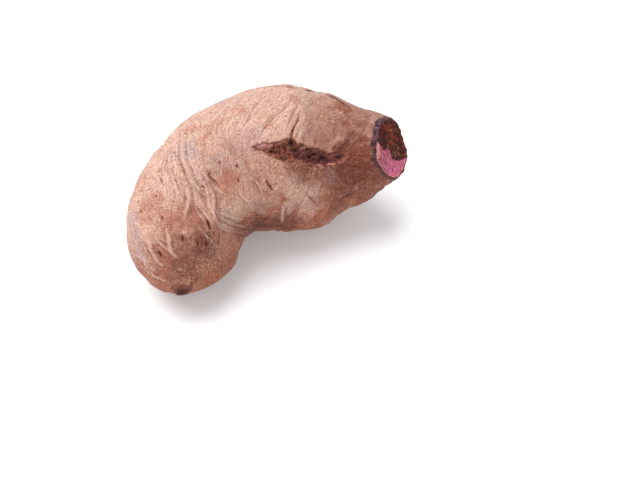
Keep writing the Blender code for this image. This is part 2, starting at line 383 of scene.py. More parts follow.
def skin_normals(along, degrees):
    """Square to the skin: the cross product of a small step along it and a small step round it."""
    behind, ahead = just_around(along)
    ahead = np.maximum(ahead, behind + 0.5)
    step_along = skin_points(np.minimum(ahead, LENGTH_MM), degrees) - skin_points(behind, degrees)
    step_round = skin_points(along, degrees + 1.0) - skin_points(along, degrees - 1.0)
    return unit(np.cross(step_along, step_round))


# %% [markdown]
# ## The net of the skin
#
# A net of rows along the root and columns round it carries the skin, with a point at the root end. The rows are
# spaced by the arc of the rounded end, then evenly. It stays under two hundred thousand triangles, and its cells
# are about half a mm, so that a wrinkle or a pit is real shape and not only a trick of shading.

# %% The net
END_ROWS = 72
BODY_ROWS = 260
COLUMNS = 290
CLOSER_BY = 0.32
CLOSEST_AT_DEGREES = 55.0

even = np.arange(COLUMNS) * 360.0 / COLUMNS
column_degrees = even - np.degrees(CLOSER_BY * np.sin(np.radians(even - CLOSEST_AT_DEGREES)))
end_steps = np.arange(1, END_ROWS + 1) / END_ROWS
row_along = np.concatenate([
    ROUND_END_MM * (1 - np.cos(math.pi / 2 * end_steps)),
    ROUND_END_MM + (LENGTH_MM - ROUND_END_MM) * np.arange(1, BODY_ROWS + 1) / BODY_ROWS,
])
SKIN_ROWS = len(row_along)
along = np.repeat(row_along, COLUMNS)
degrees = np.tile(column_degrees, SKIN_ROWS)
own_points = skin_points(along, degrees)
own_low, own_high = own_points.min(axis=0), own_points.max(axis=0)
cad_middle = (np.array(cad_low) + np.array(cad_high)) / 2 / MM
FRAME_SHIFT_MM = (cad_middle - (own_low + own_high) / 2) * (1, 1, 0)


def placed_skin(along, degrees):
    """The skin in the frame's place: the form, moved so that its box and the solid's have one middle."""
    return skin_points(along, degrees) + FRAME_SHIFT_MM


points = own_points + FRAME_SHIFT_MM
net = points.reshape(SKIN_ROWS, COLUMNS, 3)
step_round = np.roll(net, -1, axis=1) - np.roll(net, 1, axis=1)
normals = unit(np.cross(np.gradient(net, axis=0), step_round)).reshape(-1, 3)
print(len(points), "points, moved by", np.round(FRAME_SHIFT_MM, 2), "mm; lowest at", round(own_low[2], 2))

# %% [markdown]
# ## Soft noise
#
# Skin never repeats, so much of it is noise: a random slope at each corner of a lattice, mixed smoothly between
# the corners. The lattice can be stretched, which turns blotches into fibres. The seeds are fixed, so that every
# run gives the same root.

# %% Soft noise
NOISE_TABLE = 4096
NOISE_GAIN = 1.6
CREASE_GAIN = 2.2


def soft_noise(at, cell, seed):
    """Gradient noise between about -1 and 1: each lattice corner's slope times the offset from it, mixed."""
    at = at / np.asarray(cell)
    corner = np.floor(at).astype(np.int64)
    offset = at - corner
    random = np.random.default_rng(seed)
    order = random.permutation(NOISE_TABLE)
    slopes = unit(random.normal(size=(NOISE_TABLE, 3)))
    fade = offset**3 * (offset * (offset * 6 - 15) + 10)
    total = np.zeros(len(at))
    for step in itertools.product((0, 1), repeat=3):
        x, y, z = (corner + step).T
        pick = order[(order[(order[x % NOISE_TABLE] + y) % NOISE_TABLE] + z) % NOISE_TABLE]
        weight = np.prod(np.where(np.array(step) == 1, fade, 1 - fade), axis=1)
        total += weight * np.einsum("ij,ij->i", slopes[pick], offset - step)
    return NOISE_GAIN * total


def layers(at, *rows):
    """Sum of noises at the same points: each row is a height, a cell in mm and a seed."""
    return sum(tall * soft_noise(at, cell, seed) for tall, cell, seed in rows)


def creased(noise):
    """Turns noise into sharp valleys: 0 where the noise crosses zero, 1 far from it."""
    return np.clip(np.abs(noise) * CREASE_GAIN, 0.0, 1.0)


TWIST_KNOTS_MM = (0, 45, 70, 100, 130, 150)
TWIST_DEGREES_PER_MM = (1.1, 1.1, 2.0, 2.2, 2.6, 1.8)


def grain_place(along, degrees):
    """The skin's grain unwound: distance along, and the place on the round section after undoing the twist."""
    fine = np.arange(0.0, LENGTH_MM + 1.0)
    turn = np.concatenate([[0.0], np.cumsum(np.interp(fine[:-1] + 0.5, TWIST_KNOTS_MM, TWIST_DEGREES_PER_MM))])
    angle = np.radians(degrees - np.interp(along, fine, turn))
    radius = mean_radius(along) * roundness(along)
    return np.stack([along, radius * np.cos(angle), radius * np.sin(angle)], axis=1)


grain = grain_place(along, degrees)
print("The grain winds", round(float(np.interp(100, TWIST_KNOTS_MM, TWIST_DEGREES_PER_MM)), 1), "degrees per mm")

# %% [markdown]
# ## Marks carried from the picture to the skin
#
# A mark that the picture shows is named here with its pixels. The camera carries it onto the skin: a ray through
# the pixel meets the root, and from then on the mark is a line in space that lies on the skin, seen from any
# side. The marks could be painted on a texture instead, but then they would have no depth.

# %% From the picture to the skin
MARK_STEP_PX = 1.5
SAME_PLACE_PX = 0.8


def in_picture(at):
    """Pixel across, pixel down and depth in mm of points, by the camera's rule: focus times side over depth."""
    offset = at - CAMERA_PLACE_MM
    depth = -(offset @ CAMERA_BACK)
    x = PICTURE_PX[0] / 2 + FOCUS_PX * (offset @ CAMERA_RIGHT) / depth
    y = PICTURE_PX[1] / 2 - FOCUS_PX * (offset @ CAMERA_UP) / depth
    return x, y, depth


def from_picture(x, y, depth):
    """The place in mm that shows at a pixel, at a depth in mm."""
    side = (x - PICTURE_PX[0] / 2) / FOCUS_PX * depth
    rise = (PICTURE_PX[1] / 2 - y) / FOCUS_PX * depth
    ahead = side[:, None] * CAMERA_RIGHT + rise[:, None] * CAMERA_UP - depth[:, None] * CAMERA_BACK
    return CAMERA_PLACE_MM + ahead


seen = np.einsum("ij,ij->i", normals, CAMERA_PLACE_MM - points) > 0
seen_x, seen_y, seen_depth = in_picture(points[seen])


def carried(pixels):
    """The pixels' smooth line in steps of about a pixel, each at the depth of the nearest skin that is seen."""
    pixels = np.array(pixels, float)
    if len(pixels) > 1:
        knots = np.concatenate([[0.0], np.linalg.norm(np.diff(pixels, axis=0), axis=1).cumsum()])
        steps = np.linspace(0.0, knots[-1], max(2, round(knots[-1] / MARK_STEP_PX)))
        pixels = natural_spline(knots, pixels, steps)
    off = np.hypot(seen_x - pixels[:, :1], seen_y - pixels[:, 1:])
    near = np.where(off < off.min(axis=1, keepdims=True) + SAME_PLACE_PX, seen_depth, np.inf)
    return from_picture(pixels[:, 0], pixels[:, 1], near.min(axis=1))


def near_path(at, path, reach):
    """Which points lie within reach of a path, how far from it each is, and its share of the path's length."""
    which = np.flatnonzero(np.all((at > path.min(axis=0) - reach) & (at < path.max(axis=0) + reach), axis=1))
    near = at[which]
    best = np.full(len(near), np.inf)
    share = np.zeros(len(near))
    if len(path) == 1:
        return which, np.linalg.norm(near - path[0], axis=1), share + 0.5
    for i, (a, b) in enumerate(zip(path[:-1], path[1:])):
        step = b - a
        t = np.clip((near - a) @ step / (step @ step), 0.0, 1.0)
        off = np.linalg.norm(near - a - t[:, None] * step, axis=1)
        closer = off < best
        best = np.where(closer, off, best)
        share = np.where(closer, (i + t) / (len(path) - 1), share)
    return which, best, share


print(int(seen.sum()), "points of the net face the camera")

# %% [markdown]
# ## The marks
#
# Creases wind round the middle and gather at the fold of the bend. Pale ridges run over the bend and down the
# lobe, and thinner pale lines fan out beside them. Two soft folds lie on the neck. Dark cork sits on the crest
# of the shoulder, a crack opens into the scar, and hairlines and red slits break the skin elsewhere.

# %% Lines on the skin
LINES_PX = {  # for each kind, its lines through pixels (across, down) of the picture
    "crease": (
        ((277.9, 90.3), (266.4, 94.9), (254.5, 105.5), (249.6, 114.5), (245, 122.9), (238, 133.6)),
        ((293.5, 95), (285, 107), (277.5, 113.8), (270.5, 121), (264.1, 129.1), (260.5, 135.4)),
        ((303, 98), (296, 107), (291, 117), (287, 128)), ((304.3, 190.2), (311.2, 199.4), (320.4, 206.3)),
        ((267, 181.5), (270, 187), (274, 192)), ((327.3, 202.3), (338.7, 199.4), (350.2, 194.8)),
        # The creases from 222 to 300 across, low in the bend, also paint the shadow of the crevice under the fold
        ((357.9, 133.6), (352, 141), (345, 149.5)), ((222, 223), (233, 226.5), (245, 229), (262, 232.5)),
        ((225, 229), (240, 234), (256, 237)), ((238, 222), (252, 219.5), (268, 219), (284, 222.5), (300, 229)),
    ),
    "crack": (
        ((299.8, 112), (297.4, 121.3), (292.6, 130.5), (291.4, 137.4), (290.6, 144.3), (290, 152)),
        ((351, 194), (345, 198)),
    ),
    "hairline": (
        ((289.4, 162.4), (293.6, 169), (297.4, 175.3)), ((287, 163), (290.5, 168), (293, 173)),
        ((263, 171.8), (266, 179), (276, 194), (280, 201)),
        ((244, 118), (250, 109), (258, 106), (268, 98), (278, 91.5)),
        ((213, 112), (202, 123), (194, 134), (188, 146)), ((262, 128), (270, 117), (280, 108)),
        ((313.5, 119), (323.9, 120.6), (330.2, 123.3), (340.9, 124.6), (351.6, 121)), ((343.6, 130), (340, 138)),
        ((350.7, 128.2), (344.5, 135.4)), ((356, 130), (351, 136)), ((347, 127), (342, 134)),
        ((337, 133), (334, 139)), ((283.5, 163.5), (288, 170), (291, 177)), ((349, 155), (358, 155.5), (368, 157)),
        ((350, 159.5), (359, 160.5), (370, 163.5)), ((345, 165), (357, 167), (371, 170)),
        ((330, 190), (343, 188), (357, 182)),
    ),
    "ridge": (
        ((303.4, 130), (300.7, 135.4), (299.8, 140.7)),
        ((184, 128), (182.7, 142.5), (183, 158), (188, 170.2), (193.5, 182.7), (204, 192)),
        ((196, 170), (201, 180), (207, 192), (210.5, 206), (213, 216)),
        ((185, 184), (188.8, 192), (189, 201), (186, 212), (184.3, 220.6)),
        ((205.7, 179), (210.5, 188.5), (213.7, 197.9), (214.4, 212), (217.2, 221), (220.4, 227.3)),
        ((166.2, 226), (168.4, 237.1), (170.9, 248.7), (174.5, 256.8)),
        ((145.4, 238), (149.5, 246), (152, 252.8), (158, 261.5), (164.2, 267.5)),
        ((137.4, 264.5), (147, 272), (160, 279), (171, 282)), ((282.5, 202.9), (282.5, 215.5), (281.3, 224.7)),
    ),
    "fold": (
        ((356, 122), (350.5, 130), (343, 140), (335, 149)), ((365, 127), (358, 134), (351, 144)),
    ),
    "line": (
        ((169, 152), (169.5, 164), (172, 176), (176.5, 188), (182, 199), (186, 209)),
        ((203, 168), (206, 176), (211, 182), (219, 191), (228, 196)),
        ((214, 218), (219, 226), (232, 231.5), (248, 234.5)), ((166, 244), (172, 253), (180, 259)),
        ((192.5, 182.7), (200, 190), (207.5, 199), (212, 210)), ((194.1, 205), (200.4, 215), (207, 224.6)),
        ((199, 204), (206, 214), (214, 226)), ((195.9, 222.5), (205, 234), (219.1, 247.9)),
        ((217.4, 218.4), (221.5, 230), (221, 246)), ((204, 198), (211, 208.5), (219, 222)),
        ((218, 216), (230, 222.5), (246, 226.5)), ((216, 210), (232, 217.5), (250, 221)),
        ((154, 238), (160, 243.5), (167, 249.5), (173.6, 255.4)), ((143.2, 244.3), (146.8, 252.5), (152, 260)),
        ((173.6, 185.4), (177.1, 193.4), (180.5, 203.2)), ((168, 150), (164, 162), (163, 174)),
        ((238, 186), (241, 195), (250, 203)), ((248, 176), (258, 184), (263, 196)),
        ((132.5, 222), (134, 236), (138, 248)),
    ),
    "slit": (
        ((206.3, 167), (208.6, 172), (211.3, 177.3), (215.7, 181.8), (221, 189)), ((160.8, 176.4), (161.7, 183.6)),
        ((203.9, 194.6), (208.4, 199.6)), ((269.5, 184), (272, 190)),
    ),
    "cork": (
        ((286, 86), (290, 86.6), (294.5, 87.9)), ((303, 89.2), (308, 89.8), (315, 91)),
        ((325, 94.2), (331, 96.4), (337.4, 99.2), (342.8, 102.6), (347.4, 106.8)),
    ),
}
LOOKS = {  # half width in mm, height in mm, and how strongly each colour mask takes the line
    "crease": (0.62, -0.70, {"dark": 0.62, "brown": 0.6}),
    "crack": (0.56, -0.95, {"brown": 1.2, "dark": 1.25}),
    "hairline": (0.42, -0.26, {"dark": 0.75}),
    "ridge": (0.86, 0.80, {"pale": 0.95}),
    "line": (0.50, 0.34, {"pale": 1.0}),
    "slit": (0.58, -0.42, {"red": 1.0, "brown": 0.9, "dark": 0.75}),
    "fold": (2.20, 0.80, {"pale": 0.20}),
    "cork": (1.25, 0.50, {"cork": 1.45}),
}
RAISED_KINDS = ("ridge", "line")
GROOVE_DEPTH = 0.28  # share of the ridge's height
# painted shade in the groove beside each raised line
GROOVE_BROWN = 0.65
picture_lines = [(kind, carried(line), 1.0) for kind, lines in LINES_PX.items() for line in lines]
print(len(picture_lines), "lines lie on the skin")

# %% [markdown]
# Pits mark where fine roots sat. Each is a short dark slit with a trace of a rim, in a reddish spot.

# %% Pits on the skin
PITS_PX = (  # pixel across, pixel down, radius in mm
    (148.3, 172, 0.45), (148.6, 188.5, 0.5), (165.7, 159.5, 0.4), (237.1, 166.2, 0.5), (238, 180, 0.5),
    (267.5, 182.7, 0.5), (219.3, 162.6, 0.4), (203.7, 187.1, 0.5), (155.9, 196, 0.45), (137.6, 200.5, 0.5),
    (140.1, 210.4, 0.7), (162.2, 217.5, 0.6), (128.9, 225.5, 0.4), (208.4, 223.3, 0.9), (210.2, 227.3, 0.5),
    (182.7, 238, 0.7), (191.4, 238, 0.55), (203, 238.5, 0.6), (207, 244.7, 0.9), (198.6, 244.3, 0.8),
    (160.2, 254.1, 0.8), (315.9, 140.7, 0.5), (185, 133, 0.4),
)
PIT_LEAN = 1.1 * (0.35 * CAMERA_RIGHT - 0.94 * CAMERA_UP)
pits = [(carried([(x, y)])[0], radius) for x, y, radius in PITS_PX]
print(len(pits), "pits")

# %% [markdown]
# ## The sides that the picture hides
#
# The back and the underside get marks of the same kinds. A few long wrinkles go on over the back from those in
# front. The others start at random places and follow the grain, which winds round the root, so that the hidden
# sides look grown by the same plant.

# %% Marks on the hidden sides
HIDDEN_SEED = 41
HIDDEN_LINES = (  # kind, how many, strength
    ("crease", 26, 0.9), ("hairline", 46, 1.2), ("ridge", 16, 0.9), ("line", 44, 1.1), ("slit", 12, 0.8),
)
BACK_LINES = (  # kind, strength, then mm along and degrees round
    ("crease", 0.7, ((88.7, 94), (92, 118), (96, 146), (99, 176), (105, 204))),
    ("crease", 0.75, ((105.1, 102), (107, 124), (112, 150), (115, 178))),
    ("crease", 0.6, ((62, 96), (66, 122), (69, 150), (75, 184))),
    ("ridge", 0.6, ((44, 104), (50, 128), (54, 154), (61, 186), (66, 214))),
    ("line", 1, ((52, 108), (57, 132), (60, 160), (66, 186))),
    ("crease", 0.55, ((28, 116), (33, 146), (36, 178), (42, 206))),
    ("ridge", 0.9, ((120, 160), (124, 186), (127, 214), (134, 240))),
    ("crease", 0.7, ((133, 150), (136, 178), (139, 208))),
    ("line", 1, ((80, 150), (84, 176), (90, 204), (94, 232))),
    ("crack", 0.6, ((76, 196), (78, 204), (82, 212))),
    ("slit", 1, ((47, 196), (50, 206), (52, 214))),
)
BACK_STEPS = 40
FACES_AWAY_MM = 15.0
HIDDEN_PITS = 34
random = np.random.default_rng(HIDDEN_SEED)


def hidden_places(count):
    """Random places on the skin, at even odds for each mm, kept where the skin faces away from the camera."""
    at = random.uniform(3.0, LENGTH_MM - 4.0, 12 * count)
    angle = random.uniform(0.0, 360.0, 12 * count)
    to_camera = CAMERA_PLACE_MM - placed_skin(at, angle)
    kept = np.flatnonzero(np.einsum("ij,ij->i", skin_normals(at, angle), to_camera) < FACES_AWAY_MM)[:count]
    return at[kept], angle[kept]


hidden_lines = []
for kind, count, strength in HIDDEN_LINES:
    for at, angle in zip(*hidden_places(count)):
        length = random.uniform(5.0, 20.0)
        steps = np.linspace(-0.5, 0.5, 9) * length
        lean = random.normal(0.0, 0.5)
        line_along = np.clip(at + steps * 0.75, 1.0, LENGTH_MM - 1.0)
        twist = np.interp(at, TWIST_KNOTS_MM, TWIST_DEGREES_PER_MM)
        line_degrees = angle + steps * (twist + lean) + 3.0 * np.sin(steps * 0.5 + angle)
        hidden_lines.append((kind, placed_skin(line_along, line_degrees), strength * random.uniform(0.6, 1.0)))
for kind, strength, knots in BACK_LINES:
    knots = np.array(knots, float)
    steps = np.linspace(knots[0, 0], knots[-1, 0], BACK_STEPS)
    hidden_lines.append((kind, placed_skin(*natural_spline(knots[:, 0], knots, steps).T), strength))
hidden_along, hidden_degrees = hidden_places(HIDDEN_PITS)
hidden_pit_radii = random.uniform(0.35, 0.8, len(hidden_along))
pits += list(zip(placed_skin(hidden_along, hidden_degrees), hidden_pit_radii))
print(len(hidden_lines), "lines and", len(hidden_along), "pits on the hidden sides")

# %% [markdown]
# ## Fine relief
#
# The skin is a thin dry sheet on firm flesh. It shows long low waves, wrinkles a mm or two apart that wind with
# the grain, and the marks. All heights are in mm and simply add up. Each mark also raises a few masks, which are
# lists of one number for each point of the net, and the colours will read them.

# %% Fine relief
MASKS = ("dust_and_light", "bloom_and_light", "pale", "dark", "red", "olive", "cork", "brown")
masks = {name: np.zeros(len(points)) for name in MASKS}
ragged = soft_noise(points, 1.3, 7)
blotch = layers(points, (1.0, 3.6, 8), (0.5, 1.7, 9))


def broad_relief(at, grain):
    """Low waves of the flesh under the skin, and long soft wrinkles that follow the grain."""
    return layers(at, (0.34, 9.0, 1), (0.20, 4.2, 2)) + 0.16 * soft_noise(grain, (11.0, 3.4, 3.4), 3)


def tint(name, amount, which=slice(None)):
    """Raises a mask to at least this amount."""
    masks[name][which] = np.maximum(masks[name][which], amount)


def draw_line(kind, path, strength):
    """Adds a bell-shaped ridge or furrow along a path, thin at both ends. A raised one gets a groove with painted
    brown shade.
    """
    half_width, tall, colours = LOOKS[kind]
    which, off, share = near_path(points, path, 4.0 * half_width)
    taper = np.sqrt(np.clip(4 * share * (1 - share), 0.0, 1.0)) * (0.8 + 0.3 * ragged[which])
    shape = bell(off / (half_width * (0.55 + 0.45 * taper))) * taper * strength
    height[which] += tall * shape
    for name, amount in colours.items():
        tint(name, amount * shape, which)
    if kind in RAISED_KINDS:
        beside = bell((off - 2.1 * half_width) / (0.7 * half_width)) * taper * strength
        height[which] -= GROOVE_DEPTH * tall * beside
        # painted shade in the groove
        tint("brown", GROOVE_BROWN * beside, which)


def draw_pit(middle, radius):
    """A slit with a low rim: a bell curve down, and a wider one up. It is longer than wide, and hangs down."""
    which, off, _ = near_path(points, middle + np.outer((-1.0, 0.0, 1.0), radius * PIT_LEAN), 4.0 * radius)
    off = off * (1 + 0.5 * ragged[which])
    shape = bell(off / (0.62 * radius))
    height[which] += 0.10 * bell((off - 1.5 * radius) / (0.5 * radius)) - 0.8 * radius * shape
    tint("dark", 1.1 * shape, which)
    tint("brown", 0.7 * bell(off / radius), which)
    tint("red", 0.5 * bell(off / (1.6 * radius)), which)


fade = smooth_step(stretch(along, degrees) / LEAST_STRETCH) * smooth_step(along / 4.0)
fine = 0.09 * (creased(soft_noise(grain, (16.0, 3.4, 3.4), 4)) - 0.6)
fine += 0.035 * soft_noise(grain, (3.0, 1.2, 1.2), 5)
fine = fade * fine + layers(points, (0.07, 1.2, 6), (0.05, 2.3, 17))
height = broad_relief(points, grain) + fine
for kind, path, strength in picture_lines + hidden_lines:
    draw_line(kind, path, strength)
for middle, radius in pits:
    draw_pit(middle, radius)
print("Fine relief from", round(height.min(), 2), "to", round(height.max(), 2), "mm")

# %% [markdown]
# ## Patches of colour
#
# The skin is dusty and pale on its upper bends, partly as painted light, redder on the lobe, olive and brown as
# painted shade under the fold and in the crevice below it, and dark brown on the neck. Each patch is a soft spot
# with an uneven edge.

# %% Patches of colour
PATCHES_PX = {  # for each mask: pixel across, pixel down, reach in mm, amount
    # Dust with painted light: most of these spots lighten places that face down or lie in the bend
    "dust_and_light": (
        (254, 201, 8, 0.75), (240, 199, 6, 0.8), (236, 210, 5, 0.9), (270, 202, 6, 0.6), (272, 184, 5, 0.8),
        (290, 182, 4, 0.5), (147, 262, 5, 1), (150, 246, 6, 0.8), (288, 208, 4, 0.8), (294, 186, 7, 0.8),
        (306, 194, 7, 0.9), (310, 208, 6, 0.7), (262, 208, 5, 0.7), (380, 184, 4, 0.6), (236, 166, 5, 0.8),
        (230, 215, 6, 1), (338, 111, 7, 0.7), (328, 122, 6, 0.6),
    ),
    "bloom_and_light": (
        (250.5, 138, 6.5, 0.6), (240, 150, 8, 0.35), (185.4, 152, 6, 0.9), (219.3, 164.8, 6, 0.55),
        # The spots at 131 to 139 across, on the far left edge, are bloom and partly painted light along that edge
        (174.6, 151.4, 4.5, 0.6), (131, 218, 5, 0.9), (134, 236, 5, 0.8), (139, 252, 6, 0.8), (303, 130, 3, 0.3),
        (331, 179, 4, 0.5), (355, 186, 4.5, 0.35), (262, 140, 4, 0.5), (248, 195, 7, 0.35), (282, 212, 5, 0.35),
        (200, 176, 3.5, 0.5), (225, 100, 7, 0.6), (199, 190, 3, 0.5), (270, 95, 5, 0.35),
    ),
    "red": (
        (152, 205, 8, 0.5), (172, 224, 9, 0.6), (196, 226, 7, 0.55), (158, 254, 8, 0.6), (343, 107, 4.5, 0.9),
        (262, 186, 7, 0.4), (320, 124, 8, 0.45), (334, 140, 7, 0.45), (350, 118, 6, 0.4), (190, 215, 7, 0.7),
        (229, 180, 6, 0.6), (325, 104, 7, 0.5), (236, 190, 7, 0.35), (205, 195, 4, 0.4), (325, 138, 9, 0.55),
        (340, 128, 7, 0.6), (360, 122, 5, 0.5), (146, 210, 7, 0.5),
    ),
    "olive": (
        # The first three olive spots, low under the fold, are painted shade
        (205, 242, 8, 0.7), (185, 262, 8, 0.5), (250, 240, 7, 0.7), (306, 178, 5, 0.35), (213, 160, 3, 0.25),
    ),
    "brown": (
        (350, 172, 8, 0.85), (362, 166, 7, 0.85), (360, 150, 8, 0.75), (345, 150, 5, 0.8), (365, 135, 6, 0.6),
        (338, 178, 7, 0.55), (345, 190, 9, 0.45), (322, 176, 6, 0.4), (348, 126, 7, 0.35), (300, 158, 7, 0.4),
        (362, 144, 6, 0.9), (360, 176, 6, 0.9), (300, 170, 6, 0.5), (346, 136, 6, 0.4), (380, 178, 6, 0.8),
        (370, 152, 6, 0.9), (342, 166, 7, 0.7), (352, 160, 6, 0.9), (369, 156, 5, 1.1), (354, 175, 6, 1),
        (350, 190, 6, 0.6), (346, 156, 6, 1.1), (357, 160, 6, 1.15), (366, 164, 5, 1.1), (360, 170, 5, 1.1),
        # Painted shadow: the spots at 262 to 288 across and at 164 to 204 across lie low under the fold
        (330, 172, 5, 0.6), (338, 206, 5, 0.6), (284, 225, 8, 0.7), (262, 226, 7, 0.65), (182, 250, 8, 0.5),
        (204, 246, 6, 0.6), (272, 227, 4.5, 0.95), (288, 229, 4, 0.9), (182, 270, 9, 0.45), (164, 272, 6, 0.3),
    ),
}
HIDDEN_PATCHES = (  # mask, how many, greatest amount
    ("bloom_and_light", 30, 0.8), ("red", 34, 0.5), ("olive", 10, 0.4), ("brown", 8, 0.35),
)
NECK_BROWN_FROM_MM = 118.0


def draw_patch(middle, reach, name, amount):
    """A soft spot: full inside half its reach, gone past it, with the reach made uneven by noise."""
    which, off, _ = near_path(points, middle[None, :], 1.7 * reach)
    edge = off / (reach * (1.0 + 0.45 * blotch[which]).clip(0.3))
    tint(name, amount * smooth_step(1.5 - edge), which)


for name, spots in PATCHES_PX.items():
    for x, y, reach, amount in spots:
        draw_patch(carried([(x, y)])[0], reach, name, amount)
for name, count, most in HIDDEN_PATCHES:
    for at, angle in zip(*hidden_places(count)):
        middle = placed_skin(np.array([at]), np.array([angle]))[0]
        draw_patch(middle, random.uniform(4.0, 11.0), name, random.uniform(0.5, 1.0) * most)
tint("brown", 0.6 * smooth_step((along - NECK_BROWN_FROM_MM + 4.0 * blotch) / 24.0))
print({name: round(float(mask.mean()), 3) for name, mask in masks.items()})

# %% [markdown]
# ## The open scar
#
# The root split open while it grew, and healed with cork. The skin's edge is torn and a little raised, and
# inside it lies a crust: fibrous on the left, pitted in the middle, and smoother and purplish on the right. The
# skin drops into a trench, and a separate piece fills the trench, because cork is another stuff than skin.

# %% The scar's edge
SCAR_TOP_PX = (
    (250, 147.5), (256, 145), (262, 143.3), (271, 143.8), (279, 142), (285, 140), (290, 138.5), (294, 139.5),
    (297.5, 143.5), (303, 144.3), (309, 147), (315, 149), (321, 150.5), (328, 153.4), (337, 152.6), (345, 152),
    (350, 155.5),
)
SCAR_BOTTOM_PX = (
    (250, 147.5), (256, 149), (263, 151), (271, 156), (278, 160.2), (287, 162.6), (295, 162), (301, 161.5),
    (309, 166.2), (318, 167.2), (330, 166.6), (337, 165.2), (343, 162.8), (350, 155.5),
)
SCAR_ALONG_MM = (76.0, 143.0)
SCAR_DEGREES = (12.0, 84.0)
MM_PER_PX = 0.47
LIP_MM = 0.34
TRENCH_MM = 3.1


def scar_inside(at, along, degrees):
    """How far inside the scar's outline a point is, in mm, from the picture's upper and lower edge of the scar."""
    x, y, _ = in_picture(at)
    top, bottom = (np.interp(x, *np.array(edge).T) for edge in (SCAR_TOP_PX, SCAR_BOTTOM_PX))
    inside = np.minimum(y - top, bottom - y) * MM_PER_PX
    inside += layers(at, (0.55, 1.7, 11), (0.30, 0.8, 12))
    there = ((along > SCAR_ALONG_MM[0]) & (along < SCAR_ALONG_MM[1])
             & (degrees > SCAR_DEGREES[0]) & (degrees < SCAR_DEGREES[1]))
    inside = np.where((x > SCAR_TOP_PX[0][0]) & (x < SCAR_TOP_PX[-1][0]), inside, -3.0)
    return np.where(there, inside, -20.0)


inside = scar_inside(points, along, degrees)
height += LIP_MM * bell((inside + 0.75) / 0.8) - TRENCH_MM * smooth_step((inside + 0.1) / 1.1)
tint("cork", smooth_step((inside + 0.2 + 0.4 * ragged) / 0.5))
tint("brown", 0.6 * smooth_step((inside + 1.7 + 1.0 * blotch) / 1.8))
print("The scar is", round(float(np.ptp(points[inside > 0][:, 0])), 1), "mm long")

# %% [markdown]
# ## Dust and painted light, neck and stub
#
# Some marks follow the form itself. Dust and painted light lie where the skin looks up and back, and painted shade
# where it looks down. The last few mm before the cut have dried to a dark purple grey. At the root end, the torn
# stub of the thin root is brown and fibrous.

# %% Masks that follow the form
DUST_AND_LIGHT_FROM = unit(np.array([-0.25, 0.60, 0.76]))
RIM_REACH_MM = ((0, 1.5), (30, 2.3), (60, 2), (110, 1.1), (300, 1.1), (360, 1.5))
RIM_SHARES = ((0, 0.8), (30, 1), (110, 1), (150, 0.5), (190, 0.3), (290, 0.3), (330, 0.5), (360, 0.8))
STUB_COLOUR_MM = 1.6
TIP_BROWN_MM = 3.5
CUT_BROWN_MM = 1.6


def round_table(table, degrees):
    """Reads a table of (degrees round, value) at each angle."""
    return np.interp(degrees % 360.0, *np.array(table).T)


first_pole = placed_skin(np.zeros(1), np.zeros(1))
to_tip = np.linalg.norm(points - first_pole, axis=1)
to_cut = LENGTH_MM - along
on_stub = 1 - smooth_step((to_tip - STUB_COLOUR_MM + 0.9 * ragged) / 1.6)
rim_share = round_table(RIM_SHARES, degrees)
rim_edge = to_cut + 0.8 * blotch
masks["rim"] = rim_share * smooth_step(1.25 - rim_edge / round_table(RIM_REACH_MM, degrees))
# Painted light with dust where the skin faces up and back; where this is low, the skin gets painted shade
tint("dust_and_light", smooth_step(0.5 + 0.62 * (normals @ DUST_AND_LIGHT_FROM) + 0.10 * blotch))
tint("brown", smooth_step(1.3 - rim_edge / CUT_BROWN_MM))
tint("cork", 0.85 * on_stub)
tint("brown", 0.9 * (1 - smooth_step((to_tip - TIP_BROWN_MM + 1.5 * blotch) / 4.0)))
turn = np.radians(degrees)
spokes = soft_noise(np.stack([0.45 * np.cos(turn), 0.45 * np.sin(turn), 0.03 * along], axis=1), 0.12, 29)
tip_fibres = soft_noise(points, (1.2, 0.9, 0.5), 13)
height += 0.28 * spokes * bell((to_tip - 6.0) / 4.0)
height += on_stub * (0.5 * tip_fibres - 0.9 * bell(to_tip / 1.6)) + 0.35 * ragged * bell(to_tip / 4.0)
height -= 0.5 * np.exp(-to_cut / 0.55)
furrow = np.clip(-fine / 0.12, -1.0, 1.0)
print("Dust covers", round(float(masks["dust_and_light"].mean()), 2), "of the skin")

# %% [markdown]
# ## The cut rim and its pocket
#
# Where the neck was trimmed, the skin rolls over the edge as a dried band, wide on the upper side and narrow
# below. Inside the band the skin piece sinks into a shallow pocket, which closes it and leaves a seat for the
# flesh. Underneath, the skin is pressed flat where it touches the floor.

# %% The rim and the pocket
BAND_MM = (  # degrees round the cut, width
    (0, 0.6), (20, 0.6), (42, 1), (65, 1.8), (90, 2.2), (120, 1.3), (150, 0.8), (180, 0.6), (216, 0.5), (250, 0.5),
    (286, 0.5), (320, 0.5), (345, 0.6), (360, 0.8),
)
RIM_ROWS = (  # share of the way over the band, height over the cut in mm
    (0.08, 0.16), (0.25, 0.26), (0.50, 0.20), (0.75, 0.02), (0.93, -0.14), (1.0, -0.34),
)
LOWEST_MM = 0.03
POCKET_MM = 1.9
POCKET_SHARES = (0.97, 0.6, 0.3)

cut_end = np.array([LENGTH_MM])
CUT_MIDDLE = station(cut_end)[0, :3] + FRAME_SHIFT_MM
CUT_FORWARD, CUT_UP, CUT_ACROSS = (axis[0] for axis in section_axes(cut_end))


def band_width(degrees):
    """Width of the dried band on the cut face, in mm, read along its table, with an uneven inner edge."""
    turn = np.radians(degrees)
    circle = 6.0 * np.stack([np.cos(turn), np.sin(turn), np.zeros(len(turn))], axis=1)
    return round_table(BAND_MM, degrees) * (1 + 0.16 * soft_noise(circle, 1.6, 14))


def over_cut(at):
    """How far points stand out of the cut plane, as steps square to it."""
    return ((at - CUT_MIDDLE) @ CUT_FORWARD)[:, None] * CUT_FORWARD


